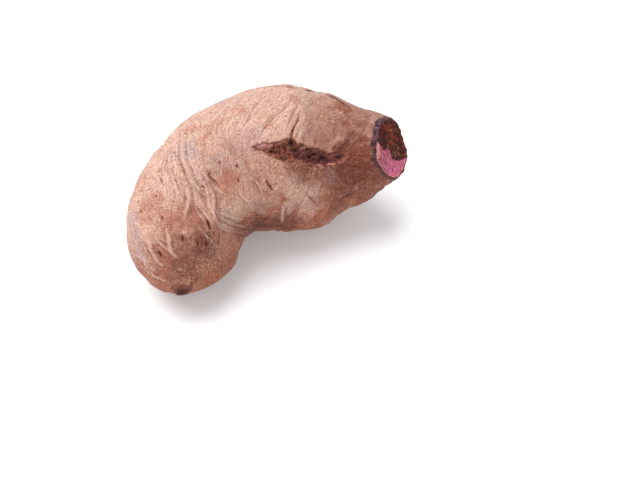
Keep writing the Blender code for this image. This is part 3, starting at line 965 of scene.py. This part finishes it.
skin = points + height[:, None] * normals
skin += (0.45 * soft_noise(points, 2.2, 15) * smooth_step(1 - to_cut / 3.0))[:, None] * CUT_FORWARD
skin[:, 2] = np.maximum(skin[:, 2], LOWEST_MM)
rim = skin[-COLUMNS:]
rim_degrees = degrees[-COLUMNS:]
rim_band = band_width(rim_degrees)
inner_share = 1 - rim_band / np.linalg.norm(rim - CUT_MIDDLE, axis=1)


def inside_rim(share, lift):
    """Points of the rim's outline drawn in to a share of its radius and lifted out of the cut plane."""
    flat = rim - over_cut(rim) * np.clip(3 - 3 * share, 0, 1)[:, None]
    return CUT_MIDDLE + share[:, None] * (flat - CUT_MIDDLE) + lift * CUT_FORWARD


rows = [inside_rim(1 - part * (1 - inner_share), lift) for part, lift in RIM_ROWS]
rows = [row + (0.16 * soft_noise(row, 1.2, 16))[:, None] * CUT_FORWARD for row in rows]
rows += [inside_rim(part * inner_share, -POCKET_MM) for part in POCKET_SHARES]
extra = np.concatenate(rows)
skin_all = np.concatenate([first_pole, skin, extra, [CUT_MIDDLE - POCKET_MM * CUT_FORWARD]])
print("The band is", round(float(rim_band.min()), 1), "to", round(float(rim_band.max()), 1), "mm wide")

# %% [markdown]
# ## From a net to a mesh
#
# A net is closed by a point at each end. Its faces are four-sided between the rows and three-sided round the
# points. If the faces enclose a negative volume they look inwards, and are turned round.

# %% Making a mesh


def net_faces(row_count, column_count):
    """Faces between neighbouring rows, and fans round the points at both ends, vertex 0 and the last one."""
    ring = np.arange(column_count)
    beside = (ring + 1) % column_count
    row = 1 + column_count * np.arange(row_count - 1)[:, None]
    quads = np.stack([row + ring, row + beside, row + beside + column_count, row + ring + column_count], axis=-1)
    last_row = 1 + (row_count - 1) * column_count
    fans = np.concatenate([
        np.stack([0 * ring, 1 + beside, 1 + ring], axis=1),
        np.stack([last_row + ring, last_row + beside, 0 * ring + last_row + column_count], axis=1),
    ])
    return quads.reshape(-1, 4), fans


def enclosed_volume(at, quads, fans):
    """Sum of the signed volumes of the pyramids from the origin to each face: positive if faces look outwards."""
    triangles = np.concatenate([quads[:, [0, 1, 2]], quads[:, [0, 2, 3]], fans])
    a, b, c = (at[triangles[:, i]] for i in range(3))
    return np.einsum("ij,ij->i", a, np.cross(b, c)).sum() / 6


def make_piece(name, at, row_count, column_count, attributes, material):
    """A closed mesh object from a net in mm, with its attributes, riding on the root's body."""
    quads, fans = net_faces(row_count, column_count)
    volume = enclosed_volume(at, quads, fans)
    if volume < 0:
        quads, fans = quads[:, ::-1], fans[:, ::-1]
    mesh = bpy.data.meshes.new(name)
    mesh.from_pydata((at * MM).tolist(), [], quads.tolist() + fans.tolist())
    for key, values in attributes.items():
        kind, field = ("FLOAT", "value") if values.ndim == 1 else ("FLOAT_VECTOR", "vector")
        made = mesh.attributes.new(key, kind, "POINT")
        made.data.foreach_set(field, values.astype(np.float32).ravel())
    mesh.shade_smooth()
    mesh.materials.append(material)
    piece = new_object(name, mesh)
    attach(piece, "root")
    print(name, "has", 2 * len(quads) + len(fans), "triangles and encloses", round(abs(volume) / 1000, 1), "cm3")
    return piece


# %% [markdown]
# ## Materials, and the effects that they share
#
# Each finish is a Principled shader fed by noise and by the masks. Two effects are used by more than one finish,
# so they are node groups: fine specks, and fibres that follow a direction. Colours are written as the red, green
# and blue of a paint chip, from 0 to 255.

# %% Tools for shader nodes


def chip(red, green, blue):
    """A paint chip's colour as the linear light that the shader works in."""
    linear = [(c / 255 / 12.92) if c <= 10 else ((c / 255 + 0.055) / 1.055)**2.4 for c in (red, green, blue)]
    return (*linear, 1.0)


class Nodes:
    """Adds nodes to one tree, and keeps a running colour. Inputs take plain values or other nodes' outputs."""

    def __init__(self, tree, colour=None):
        self.tree = tree
        self.colour = colour

    def feed(self, socket, value):
        if isinstance(value, bpy.types.NodeSocket):
            self.tree.links.new(value, socket)
        else:
            socket.default_value = value

    def add(self, kind, inputs=None, **settings):
        """Adds a node, sets its options, and feeds each named input."""
        made = self.tree.nodes.new(kind)
        for name, value in settings.items():
            setattr(made, name, value)
        for name, value in (inputs or {}).items():
            self.feed(made.inputs[name], value)
        return made

    def between(self, value, low, high, to_low=0.0, to_high=1.0):
        """A smooth rise from to_low to to_high while the value goes from low to high."""
        inputs = {"Value": value, "From Min": low, "From Max": high, "To Min": to_low, "To Max": to_high}
        return self.add("ShaderNodeMapRange", inputs, interpolation_type="SMOOTHSTEP").outputs["Result"]

    def math(self, operation, a, b=0.0):
        return self.add("ShaderNodeMath", {0: a, 1: b}, operation=operation).outputs[0]

    def times(self, a, b):
        return self.math("MULTIPLY", a, b)

    def mixed(self, factor, a, b, blend="MIX"):
        """Mixes colour b into colour a by the factor."""
        return self.add("ShaderNodeMix", {0: factor, 6: a, 7: b}, data_type="RGBA", blend_type=blend).outputs[2]

    def paint(self, where, colour, blend="MIX"):
        """Mixes a colour into the running colour, as far as `where` says."""
        self.colour = self.mixed(where, self.colour, colour, blend)

    def noise(self, vector, scale, detail=2.0, roughness=0.5):
        inputs = {"Vector": vector, "Scale": scale, "Detail": detail, "Roughness": roughness}
        return self.add("ShaderNodeTexNoise", inputs).outputs[0]

    def scaled(self, vector, scale):
        return self.add("ShaderNodeVectorMath", {0: vector, 1: scale}, operation="MULTIPLY").outputs[0]

    def place(self):
        return self.add("ShaderNodeTexCoord").outputs["Object"]

    def mask(self, name, output="Fac"):
        """One of the mesh's attributes: a mask, or with output Vector a place."""
        return self.add("ShaderNodeAttribute", attribute_name=name).outputs[output]

    def broken(self, value, grit, sharpness):
        """A mask with a gritty edge: the mask plus noise, cut off smoothly round its middle."""
        shift = self.times(self.math("SUBTRACT", grit, 0.5), sharpness)
        return self.between(self.math("ADD", value, self.times(self.between(value, 0.0, 0.15), shift)), 0.0, 1.0)

    def use(self, group, inputs):
        return self.add("ShaderNodeGroup", inputs, node_tree=group).outputs

    def finish(self, roughness, specular, bumps, strength, distance):
        """Gives the Principled shader the running colour, a gloss, and bumps that are `distance` metres high."""
        bump = self.add("ShaderNodeBump", {"Strength": strength, "Distance": distance, "Height": bumps})
        inputs = self.tree.nodes["Principled BSDF"].inputs
        self.feed(inputs["Base Color"], self.colour)
        self.feed(inputs["Roughness"], roughness)
        self.feed(inputs["Specular IOR Level"], specular)
        self.feed(inputs["Normal"], bump.outputs["Normal"])
        return inputs


def new_group(name, inputs, outputs):
    """A node group with named sockets: its nodes, what it is given, and where its results go."""
    group = bpy.data.node_groups.new(name, "ShaderNodeTree")
    for label, kind, value in inputs:
        socket = group.interface.new_socket(label, in_out="INPUT", socket_type=kind)
        if value is not None:
            socket.default_value = value
    for label in outputs:
        group.interface.new_socket(label, in_out="OUTPUT", socket_type="NodeSocketFloat")
    return Nodes(group), group.nodes.new("NodeGroupInput").outputs, group.nodes.new("NodeGroupOutput").inputs


# %% Fine specks
speck_inputs = (
    ("Vector", "NodeSocketVector", None), ("Size", "NodeSocketFloat", 1400.0), ("Amount", "NodeSocketFloat", 0.4))
n, given, result = new_group("fine_specks", speck_inputs, ["Specks"])
specks = n.tree
speck_noise = n.noise(given["Vector"], given["Size"], 2.0, 0.6)
speck_where = n.noise(given["Vector"], n.times(given["Size"], 0.13))
speck_level = n.times(speck_noise, n.between(speck_where, 0.3, 0.7, 0.8, 1.15))
n.feed(result["Specks"], n.times(n.between(speck_level, 0.60, 0.70), given["Amount"]))

# %% Fibres along the grain
fibre_inputs = (("Vector", "NodeSocketVector", None), ("Stretch", "NodeSocketVector", (90.0, 560.0, 560.0)))
n, given, result = new_group("grain_fibres", fibre_inputs, ["Fibres", "Threads"])
fibres = n.tree
pulled = n.scaled(given["Vector"], given["Stretch"])
n.feed(result["Fibres"], n.noise(pulled, 1.0, 3.0, 0.55))
thread_edge = n.math("ABSOLUTE", n.math("SUBTRACT", n.noise(pulled, 2.6, 2.0, 0.6), 0.5))
n.feed(result["Threads"], n.between(thread_edge, 0.0, 0.05, 1.0, 0.0))
print("Two shared effects:", specks.name, "and", fibres.name)

# %% [markdown]
# ## The skin's finish
#
# The skin starts tan and pink in slow blotches, gets paler with dust and painted light where it faces up and back,
# redder and darker with painted shade where it faces down, and browner in its furrows, and is crossed by fibres
# and specks. Then each mask brings its own colour, with an edge broken up by noise. It is dry and only faintly
# glossy.

# %% The skin's material
SKIN_TAN = chip(184, 128, 106)
SKIN_PINK = chip(182, 120, 102)
SKIN_ORANGE = chip(184, 124, 88)
# dust with painted light, for the faces that look up and back
SKIN_DUSTY_LIT = chip(205, 173, 156)
# painted shade, for the faces that look down
SKIN_SHADED = chip(156, 84, 54)
SKIN_FURROW = chip(124, 70, 54)
SKIN_CREST = chip(196, 160, 142)
SPECK_BROWN = chip(88, 46, 38)
RIM_PALE = chip(112, 74, 84)
RIM_DARK = chip(38, 14, 16)
GRAIN_DARK = (0.50, 0.38, 0.32, 1.0)  # these four multiply the colour under them
GRAIN_LIGHT = (1.27, 1.31, 1.35, 1.0)
MOTTLE_DARK = (0.58, 0.48, 0.43, 1.0)
MOTTLE_LIGHT = (1.32, 1.36, 1.40, 1.0)
PATCH_COLOURS = {  # soft patches, under the grain
    "bloom_and_light": chip(186, 158, 152), "olive": chip(122, 82, 58), "red": chip(158, 96, 76), "brown": chip(106, 46, 27),
}
MARK_COLOURS = {  # marks on top of the grain, and how sharply their edges are broken up
    "pale": (chip(196, 160, 146), 0.6), "rim": (chip(66, 34, 42), 1.2),
    "cork": (chip(80, 38, 26), 1.1), "dark": (chip(80, 24, 12), 0.5),
}
SHEEN = {"Sheen Weight": 0.08, "Sheen Roughness": 0.5, "Sheen Tint": (1.0, 0.86, 0.82, 1.0)}


def skin_material():
    """Blotches, dust with painted light and shade, patches, then the grain that multiplies them, then marks and
    the dried rim.
    """
    material, tree = new_material("sweet_potato_skin")
    n = Nodes(tree, SKIN_TAN)
    place, grain_at = n.place(), n.mask("grain", "Vector")
    pulled = n.scaled(grain_at, (1500.0, 2000.0, 2000.0))
    uneven = n.noise(place, 260.0, 4.0, 0.65)
    coarse = n.noise(pulled, 1.0, 3.0, 0.62)
    grit = n.noise(place, 2100.0, 2.0, 0.6)
    fibre = n.use(fibres, {"Vector": grain_at, "Stretch": (110.0, 700.0, 700.0)})
    strand = n.use(fibres, {"Vector": grain_at, "Stretch": (45.0, 260.0, 260.0)})

    n.paint(n.between(n.noise(place, 62.0, 3.0), 0.38, 0.62), SKIN_PINK)
    # Painted shade where the skin faces down, then dust with painted light where it faces up and back
    n.paint(n.between(n.mask("dust_and_light"), 0.05, 0.85, 0.85, 0.0), SKIN_SHADED)
    n.paint(n.between(n.noise(place, 190.0, 3.0), 0.52, 0.66, 0.0, 0.5), SKIN_ORANGE)
    dust_and_light = n.times(n.mask("dust_and_light"), n.between(n.noise(place, 130.0, 4.0), 0.22, 0.52))
    n.paint(n.times(dust_and_light, 0.9), SKIN_DUSTY_LIT)
    for name, colour in PATCH_COLOURS.items():
        n.paint(n.broken(n.mask(name), uneven, 0.9), colour)

    n.paint(0.85, n.mixed(n.between(coarse, 0.34, 0.64), GRAIN_DARK, GRAIN_LIGHT), "MULTIPLY")
    n.paint(0.4, n.mixed(n.between(grit, 0.3, 0.7), GRAIN_DARK, GRAIN_LIGHT), "MULTIPLY")
    n.paint(n.between(fibre["Fibres"], 0.52, 0.75, 0.0, 0.26), SKIN_FURROW)
    n.paint(n.between(fibre["Fibres"], 0.46, 0.28, 0.0, 0.26), SKIN_CREST)
    n.paint(n.times(strand["Threads"], 0.2), SKIN_FURROW)
    n.paint(n.times(fibre["Threads"], 0.12), SKIN_CREST)
    mottled = n.between(n.noise(place, 1150.0, 3.0, 0.7), 0.40, 0.60)
    in_shade = n.between(n.mask("dust_and_light"), 0.1, 0.95, 0.9, 0.0)
    n.paint(in_shade, n.mixed(mottled, MOTTLE_DARK, MOTTLE_LIGHT), "MULTIPLY")
    n.paint(n.between(n.mask("furrow"), 0.1, 1.0, 0.0, 0.35), SKIN_FURROW)
    n.paint(n.between(n.mask("furrow"), -0.1, -1.0, 0.0, 0.25), SKIN_CREST)

    n.paint(n.use(specks, {"Vector": pulled, "Size": 0.9, "Amount": 0.55})["Specks"], SPECK_BROWN)
    for name, (colour, sharpness) in MARK_COLOURS.items():
        n.paint(n.broken(n.mask(name), coarse, sharpness), colour)
    scabs = n.noise(place, 620.0, 3.0, 0.65)
    n.paint(n.times(n.mask("rim"), n.between(scabs, 0.52, 0.62)), RIM_PALE)
    n.paint(n.times(n.mask("rim"), n.between(scabs, 0.48, 0.38)), RIM_DARK)

    bumps = n.math("ADD", n.times(coarse, 1.1), n.times(grit, 0.4))
    bumps = n.math("ADD", bumps, n.times(fibre["Fibres"], 1.6))
    bumps = n.math("SUBTRACT", bumps, n.times(strand["Threads"], 0.3))
    inputs = n.finish(n.between(coarse, 0.3, 0.7, 0.58, 0.8), 0.2, bumps, 0.8, 0.0005)
    for name, value in SHEEN.items():
        inputs[name].default_value = value
    return material


# %% The skin


def whole_net(values, at_first, on_rim, at_last):
    """The values on the skin's net, with those of the first point, the rim's rows and the last point added."""
    shape = (-1,) + values.shape[1:]
    extra_rows = np.broadcast_to(np.asarray(on_rim, float), (len(extra),) + values.shape[1:])
    return np.concatenate([np.reshape(at_first, shape), values, extra_rows, np.reshape(at_last, shape)])


extra_degrees = np.tile(rim_degrees, len(rows))
rim_mottle = 0.85 + 0.5 * soft_noise(extra, 1.4, 30)
torn = 0.9 * bell((extra_degrees - 268.0) / 16.0)
on_band = np.tile(rim_share[-COLUMNS:], len(rows)) * rim_mottle
rim_values = {"rim": on_band, "brown": 1.0, "dark": 0.9 - rim_mottle + torn}
skin_attributes = {
    name: whole_net(values, values[0], rim_values.get(name, 0.0), 0.0) for name, values in masks.items()
}
skin_attributes["furrow"] = whole_net(furrow, 0.0, 0.0, 0.0)
extra_grain = grain_place(np.full(len(extra), LENGTH_MM), extra_degrees)
skin_attributes["grain"] = np.concatenate([np.zeros((1, 3)), grain, extra_grain, extra_grain[-1:]]) * MM
skin_piece = make_piece("root_skin", skin_all, SKIN_ROWS + len(rows), COLUMNS, skin_attributes, skin_material())
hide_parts("sweet_potato")

# %% [markdown]
# ## The cut flesh
#
# The face of the cut is half purple flesh and half brown cork, where the neck had dried before it was trimmed.
# It is its own piece, a disc that fills the pocket, because wet flesh and dry skin are different stuff. The
# border between flesh and cork is a line on the face, read as a place across for each height, and the cork lies
# a mm deeper.

# %% The cut face
FACE_RINGS = 76
FACE_BACK_MM = 1.75
BORDER_MM = (  # up the face, across it
    (-11.7, -8.5), (-10.7, -5.9), (-9.5, -2.4), (-7.6, -0.6), (-4.7, 2.5), (-2.2, 1.2), (0.7, 1.1), (2.5, 4.7),
    (4.2, 4.5), (7.5, 4.8), (9.6, 8), (12, 10.5),
)
FLESH_SUNK_MM = 0.45
CORK_SUNK_MM = 0.75
RING_LEAST, RING_MORE = 0.06, 0.28  # shares of the face's radius
RING_WIDEST_DEGREES, RING_REACH_DEGREES = 25.0, 34.0

face_share = np.arange(1, FACE_RINGS + 1) / FACE_RINGS
outline = inside_rim(inner_share * 0.995, 0.0)
flat_outline = outline - over_cut(outline)


def on_face(share, lift):
    """Points of the face at shares of the way from the middle to its outline, lifted out of the cut plane."""
    at = CUT_MIDDLE + share[:, None, None] * (flat_outline - CUT_MIDDLE)
    return at.reshape(-1, 3) + lift * CUT_FORWARD


flat_face = on_face(face_share, 0.0)
face_across = (flat_face - CUT_MIDDLE) @ CUT_ACROSS
face_up = (flat_face - CUT_MIDDLE) @ CUT_UP
face_out = np.repeat(face_share, COLUMNS)
face_at = np.stack([face_across, face_up, np.zeros(len(face_up))], axis=1)
past_border = np.interp(face_up, *np.array(BORDER_MM).T) - face_across
past_border += layers(face_at, (1.0, 2.0, 21), (0.6, 0.9, 22))
corky = smooth_step(0.5 + past_border / 2.2)
cork_threads = creased(soft_noise(face_at, (0.7, 3.2, 1.0), 23))
flesh_threads = soft_noise(face_at, (0.55, 2.6, 1.0), 24)
ring_wider = RING_MORE * bell((np.tile(rim_degrees, FACE_RINGS) - RING_WIDEST_DEGREES) / RING_REACH_DEGREES)
ring_inside = face_out - 1 + RING_LEAST + ring_wider + 0.06 * soft_noise(face_at, 1.2, 28)
edge_ring = smooth_step(ring_inside / (0.05 + 0.5 * ring_wider))
seam = bell((past_border - 1.2) / 1.5)
cork_relief = -CORK_SUNK_MM - 0.45 * (1 - cork_threads) + 0.35 * soft_noise(face_at, 1.6, 25) - 0.35 * seam
flesh_relief = 0.07 * flesh_threads + 0.12 * soft_noise(face_at, 2.2, 26)
face_lift = -FLESH_SUNK_MM + corky * cork_relief + (1 - corky) * flesh_relief + 0.18 * edge_ring
face_lift = np.maximum(face_lift, -FACE_BACK_MM + 0.1)
face_points = np.concatenate([
    [CUT_MIDDLE + face_lift[:COLUMNS].mean() * CUT_FORWARD], flat_face + face_lift[:, None] * CUT_FORWARD,
    on_face(np.array([1.0, 0.5]), -FACE_BACK_MM), [CUT_MIDDLE - FACE_BACK_MM * CUT_FORWARD]])
print("Cork covers", round(100 * float((corky * face_out).sum() / face_out.sum())), "% of the cut face")

# %% [markdown]
# The flesh is purple with pale streaks, deeper in hue towards the top. A pale ring runs just inside the skin.
# The cork is dark at the border, red brown beyond it, and flecked with cream.

# %% The cut's material
FLESH_MAGENTA = chip(136, 34, 66)
FLESH_LILAC = chip(178, 68, 110)
FLESH_PALE = chip(216, 142, 160)
RING_CREAM = chip(200, 128, 126)
RING_ORANGE = chip(172, 98, 66)
CORK_RED = chip(136, 50, 22)
CORK_DARK = chip(54, 18, 12)
CORK_CREAM = chip(196, 150, 112)


def flesh_material():
    """Streaked flesh, then the cork over it, then the pale ring."""
    material, tree = new_material("sweet_potato_flesh")
    n = Nodes(tree, FLESH_LILAC)
    face, corky = n.mask("face", "Vector"), n.mask("corky")
    streak = n.use(fibres, {"Vector": face, "Stretch": (1000.0, 260.0, 500.0)})["Fibres"]
    speck = n.use(specks, {"Vector": face, "Size": 650.0, "Amount": 0.3})["Specks"]
    blotches = n.noise(face, 330.0, 3.0)
    grit = n.noise(face, 1300.0, 3.0, 0.65)

    n.paint(n.between(n.mask("deep"), 0.0, 1.0), FLESH_MAGENTA)
    n.paint(n.between(streak, 0.5, 0.7, 0.0, 0.5), FLESH_PALE)
    n.paint(n.between(blotches, 0.5, 0.66, 0.0, 0.7), FLESH_MAGENTA)
    n.paint(n.between(grit, 0.5, 0.64, 0.0, 0.55), FLESH_MAGENTA)
    n.paint(n.between(grit, 0.46, 0.34, 0.0, 0.5), FLESH_PALE)
    n.paint(n.between(corky, 0.0, 0.5, 0.0, 0.8), FLESH_MAGENTA)
    cork = n.mixed(n.between(streak, 0.46, 0.66), CORK_DARK, CORK_RED)
    cork = n.mixed(n.between(n.mask("seam"), 0.2, 0.9), cork, CORK_DARK)
    n.paint(n.broken(corky, grit, 1.2), n.mixed(speck, cork, CORK_CREAM))
    ring = n.mixed(n.between(blotches, 0.5, 0.6), RING_CREAM, RING_ORANGE)
    n.paint(n.broken(n.times(n.mask("ring"), n.between(corky, 1.0, 0.3)), grit, 1.6), ring)
    n.finish(n.between(corky, 0.0, 1.0, 0.42, 0.8), 0.3, streak, 0.6, 0.0003)
    return material


# %% The flesh piece
face_deep = smooth_step(0.5 + (face_up + 4.5) / 6.0 + 0.5 * soft_noise(face_at, 3.0, 27))
face_net = (("corky", corky), ("seam", seam), ("ring", edge_ring), ("deep", face_deep))
face_attributes = {
    name: np.concatenate([values[:1], values, np.zeros(2 * COLUMNS + 1)]) for name, values in face_net
}
face_attributes["face"] = (face_points - CUT_MIDDLE) @ np.stack([CUT_ACROSS, CUT_UP, CUT_FORWARD], axis=1) * MM
flesh_piece = make_piece("cut_flesh", face_points, FACE_RINGS + 2, COLUMNS, face_attributes, flesh_material())

# %% [markdown]
# ## The crust in the scar
#
# The crust is a shaggy closed sheet under the skin. It rises into view only where the trench opens. Its surface
# is fibrous on the left, pitted in the middle and smoother on the right. Flaps of old skin, deep holes, pale
# fringes and bridges between the holes are laid on it at their places in the picture.

# %% The crust's form
CRUST_ROWS = 300
CRUST_TOP_COLUMNS = 96
CRUST_BACK_COLUMNS = 12
CRUST_HALF_MM = 8.0
CRUST_BACK_MM = 4.2
CRUST_HIDDEN_MM = 2.4
CRUST_SUNK_MM = 0.55
CRUST_DEEPER_MM = 0.8
FIBROUS_UP_TO_PX = 300.0
SMOOTH_FROM_PX = 328.0
SCAR_LINE = ((76, 58), (98, 48), (114, 40.5), (143, 28))  # mm along, degrees round
CRUST_SPOTS_PX = {  # for each mask: pixel across and down, reach across and down, amount
    "flap": (
        (263.5, 146.5, 6.5, 2.6, 1), (270.5, 145.5, 2.5, 1.8, 0.7),
    ),
    "deep": (
        (272, 152, 6, 1.3, 0.7), (273.5, 146.5, 1.2, 3.5, 0.9), (282, 159, 6, 1.8, 0.7), (291.5, 142, 3.2, 5.5, 1),
        (295.5, 150, 3.5, 2.6, 0.9), (285, 150, 1.2, 4.5, 0.6), (279, 151, 1, 4.5, 0.5),
        (299.5, 156, 1.6, 3.5, 0.6), (309, 149, 2, 1.4, 0.8), (308, 150, 4, 0.8, 0.35), (333, 153, 6, 0.9, 0.8),
        (324.5, 157.5, 3.2, 2.6, 1), (320.5, 161, 2.2, 1.5, 0.8), (311, 157, 2, 1.8, 0.8),
        (304.5, 158.5, 1.8, 1.6, 0.7), (315.5, 154, 4, 1.2, 0.8), (309, 162, 2, 1.2, 0.5),
        (339, 156.5, 5, 1.6, 0.6), (335, 160.5, 3, 1.2, 0.5), (342, 155, 5, 2, 0.55), (329, 161, 3, 1.5, 0.5),
        (315, 159.5, 2.5, 1.6, 0.6),
    ),
    "fringe": (
        (304.5, 147.5, 2.6, 1.5, 0.6), (301.5, 148.5, 1.2, 1.2, 0.7), (331.5, 164.5, 3.6, 0.8, 1),
        (320, 165.6, 4.5, 0.8, 0.7), (341, 162.3, 2.5, 0.6, 0.5), (309, 164.2, 3, 0.8, 0.5),
    ),
    "bridge": (
        (305, 152.6, 4, 1, 0.3), (299, 161, 3, 1.2, 0.5), (332, 156.5, 2.5, 2.2, 0.5),
    ),
}
CRUST_SPOT_HEIGHTS = {"flap": 0.75, "deep": -1.0, "fringe": 0.45, "bridge": 0.65}

crust_row = np.linspace(SCAR_ALONG_MM[0] + 1.0, SCAR_ALONG_MM[1] - 1.0, CRUST_ROWS)
top_across = np.linspace(-CRUST_HALF_MM, CRUST_HALF_MM, CRUST_TOP_COLUMNS)
back_across = np.linspace(CRUST_HALF_MM, -CRUST_HALF_MM, CRUST_BACK_COLUMNS + 2)[1:-1]
ring_across = np.concatenate([top_across, back_across])
ring_count = len(ring_across)
crust_along = np.repeat(crust_row, ring_count)
crust_across = np.tile(ring_across, CRUST_ROWS)
crust_is_back = np.tile(np.arange(ring_count) >= CRUST_TOP_COLUMNS, CRUST_ROWS)
crust_degrees = np.interp(crust_along, *np.array(SCAR_LINE).T)
crust_degrees += np.degrees(crust_across / mean_radius(crust_along))
crust_base = placed_skin(crust_along, crust_degrees)
crust_inside = scar_inside(crust_base, crust_along, crust_degrees)
crust_x, crust_y, _ = in_picture(crust_base)

rolled = np.stack([crust_along, crust_across, np.zeros(len(crust_along))], axis=1)
shag = creased(soft_noise(rolled + 1.5 * soft_noise(rolled, 3.0, 34)[:, None], (0.75, 2.8, 1.0), 31))
crumbs = soft_noise(rolled, 0.8, 32)
cells = creased(soft_noise(rolled, 1.5, 33))
fibrous = smooth_step((FIBROUS_UP_TO_PX - crust_x) / 8.0)
smooth_right = smooth_step((crust_x - SMOOTH_FROM_PX) / 8.0)
pitted = (1 - fibrous) * (1 - smooth_right)
crust_height = -CRUST_SUNK_MM - CRUST_DEEPER_MM * smooth_step(crust_inside / 2.4)
crust_height += fibrous * (0.75 * shag + 0.15 * crumbs) + pitted * (0.6 * cells + 0.25 * crumbs - 0.3)
crust_height += smooth_right * (0.35 * cells + 0.5 + 0.1 * crumbs)
spot_x = crust_x + 1.6 * soft_noise(crust_base, 1.3, 35)
spot_y = crust_y + 1.2 * soft_noise(crust_base, 1.3, 36)
crust_masks = {name: np.zeros(len(crust_along)) for name in CRUST_SPOTS_PX}
for name, spots in CRUST_SPOTS_PX.items():
    for x, y, reach_x, reach_y, amount in spots:
        spot = amount * np.exp(-((spot_x - x) / reach_x)**2 - ((spot_y - y) / reach_y)**2)
        crust_masks[name] = np.maximum(crust_masks[name], spot)
    crust_height += CRUST_SPOT_HEIGHTS[name] * crust_masks[name]
crust_height = np.maximum(crust_height, -CRUST_BACK_MM + 0.5)
shown = smooth_step((crust_inside + 0.9) / 0.9)
crust_height = -CRUST_HIDDEN_MM * (1 - shown) + crust_height * shown
crust_height = np.where(crust_is_back, -CRUST_BACK_MM, crust_height)
crust_lift = broad_relief(crust_base, grain_place(crust_along, crust_degrees)) + crust_height
crust_points = crust_base + crust_lift[:, None] * skin_normals(crust_along, crust_degrees)
crust_net = np.concatenate([
    [crust_points[:ring_count].mean(axis=0)], crust_points, [crust_points[-ring_count:].mean(axis=0)]])
print("The crust's net has", len(crust_net), "points")

# %% [markdown]
# Old cork is brown with an olive cast and tan on the tips of its fibres, with painted shade in its depths and
# holes. Towards the neck it turns purplish.

# %% The crust's material
SCAR_BROWN = chip(110, 50, 38)
SCAR_OLIVE = chip(120, 76, 46)
SCAR_PURPLE = chip(104, 52, 52)
SCAR_DEEP = chip(48, 17, 15)
SCAR_TIPS = chip(176, 110, 86)
SPOT_COLOURS = {"bridge": chip(168, 104, 78), "flap": chip(176, 120, 122), "fringe": chip(190, 136, 124)}


def scar_material():
    """Blotched cork with pale tips, then the laid-on spots, then grit and the painted shade of the depths."""
    material, tree = new_material("sweet_potato_cork")
    n = Nodes(tree, SCAR_BROWN)
    place, raised = n.place(), n.mask("raised")
    fibre = n.use(fibres, {"Vector": n.mask("rolled", "Vector"), "Stretch": (1100.0, 300.0, 500.0)})["Fibres"]
    grit = n.noise(place, 1500.0, 3.0, 0.65)
    tone = n.between(n.noise(place, 330.0, 3.0), 0.44, 0.6)
    n.paint(tone, SCAR_OLIVE)
    n.paint(n.mask("purplish"), SCAR_PURPLE)
    n.paint(n.between(raised, 0.6, 1.0, 0.0, 0.45), SCAR_TIPS)
    n.paint(n.between(fibre, 0.46, 0.62, 0.0, 0.65), SCAR_DEEP)
    for name, colour in SPOT_COLOURS.items():
        n.paint(n.broken(n.mask(name), grit, 1.0), colour)
    n.paint(n.between(grit, 0.56, 0.7, 0.0, 0.6), SCAR_DEEP)
    n.paint(n.between(grit, 0.42, 0.32, 0.0, 0.5), SCAR_TIPS)
    # Painted shade: dark where the crust lies deep under the skin's edge, and partly in the holes
    n.paint(n.between(raised, 0.5, 0.0, 0.0, 0.95), SCAR_DEEP)
    n.paint(n.broken(n.mask("deep"), grit, 0.8), SCAR_DEEP)
    n.paint(n.use(specks, {"Vector": place, "Size": 1300.0, "Amount": 0.6})["Specks"], SCAR_DEEP)
    n.finish(n.between(tone, 0.0, 1.0, 0.7, 0.9), 0.25, n.math("ADD", fibre, grit), 0.8, 0.0005)
    return material


# %% The crust piece
raised = np.clip((crust_height + CRUST_HIDDEN_MM) / 2.0, 0.0, 1.0)
purplish = np.clip(0.1 + smooth_right + 0.8 * pitted, 0.0, 0.9)
crust_values = {"raised": raised, "purplish": purplish, "rolled": rolled * MM, **crust_masks}
crust_attributes = {
    name: np.concatenate([values[:1], values, values[-1:]]) for name, values in crust_values.items()
}
crust_piece = make_piece("scar_crust", crust_net, CRUST_ROWS, ring_count, crust_attributes, scar_material())
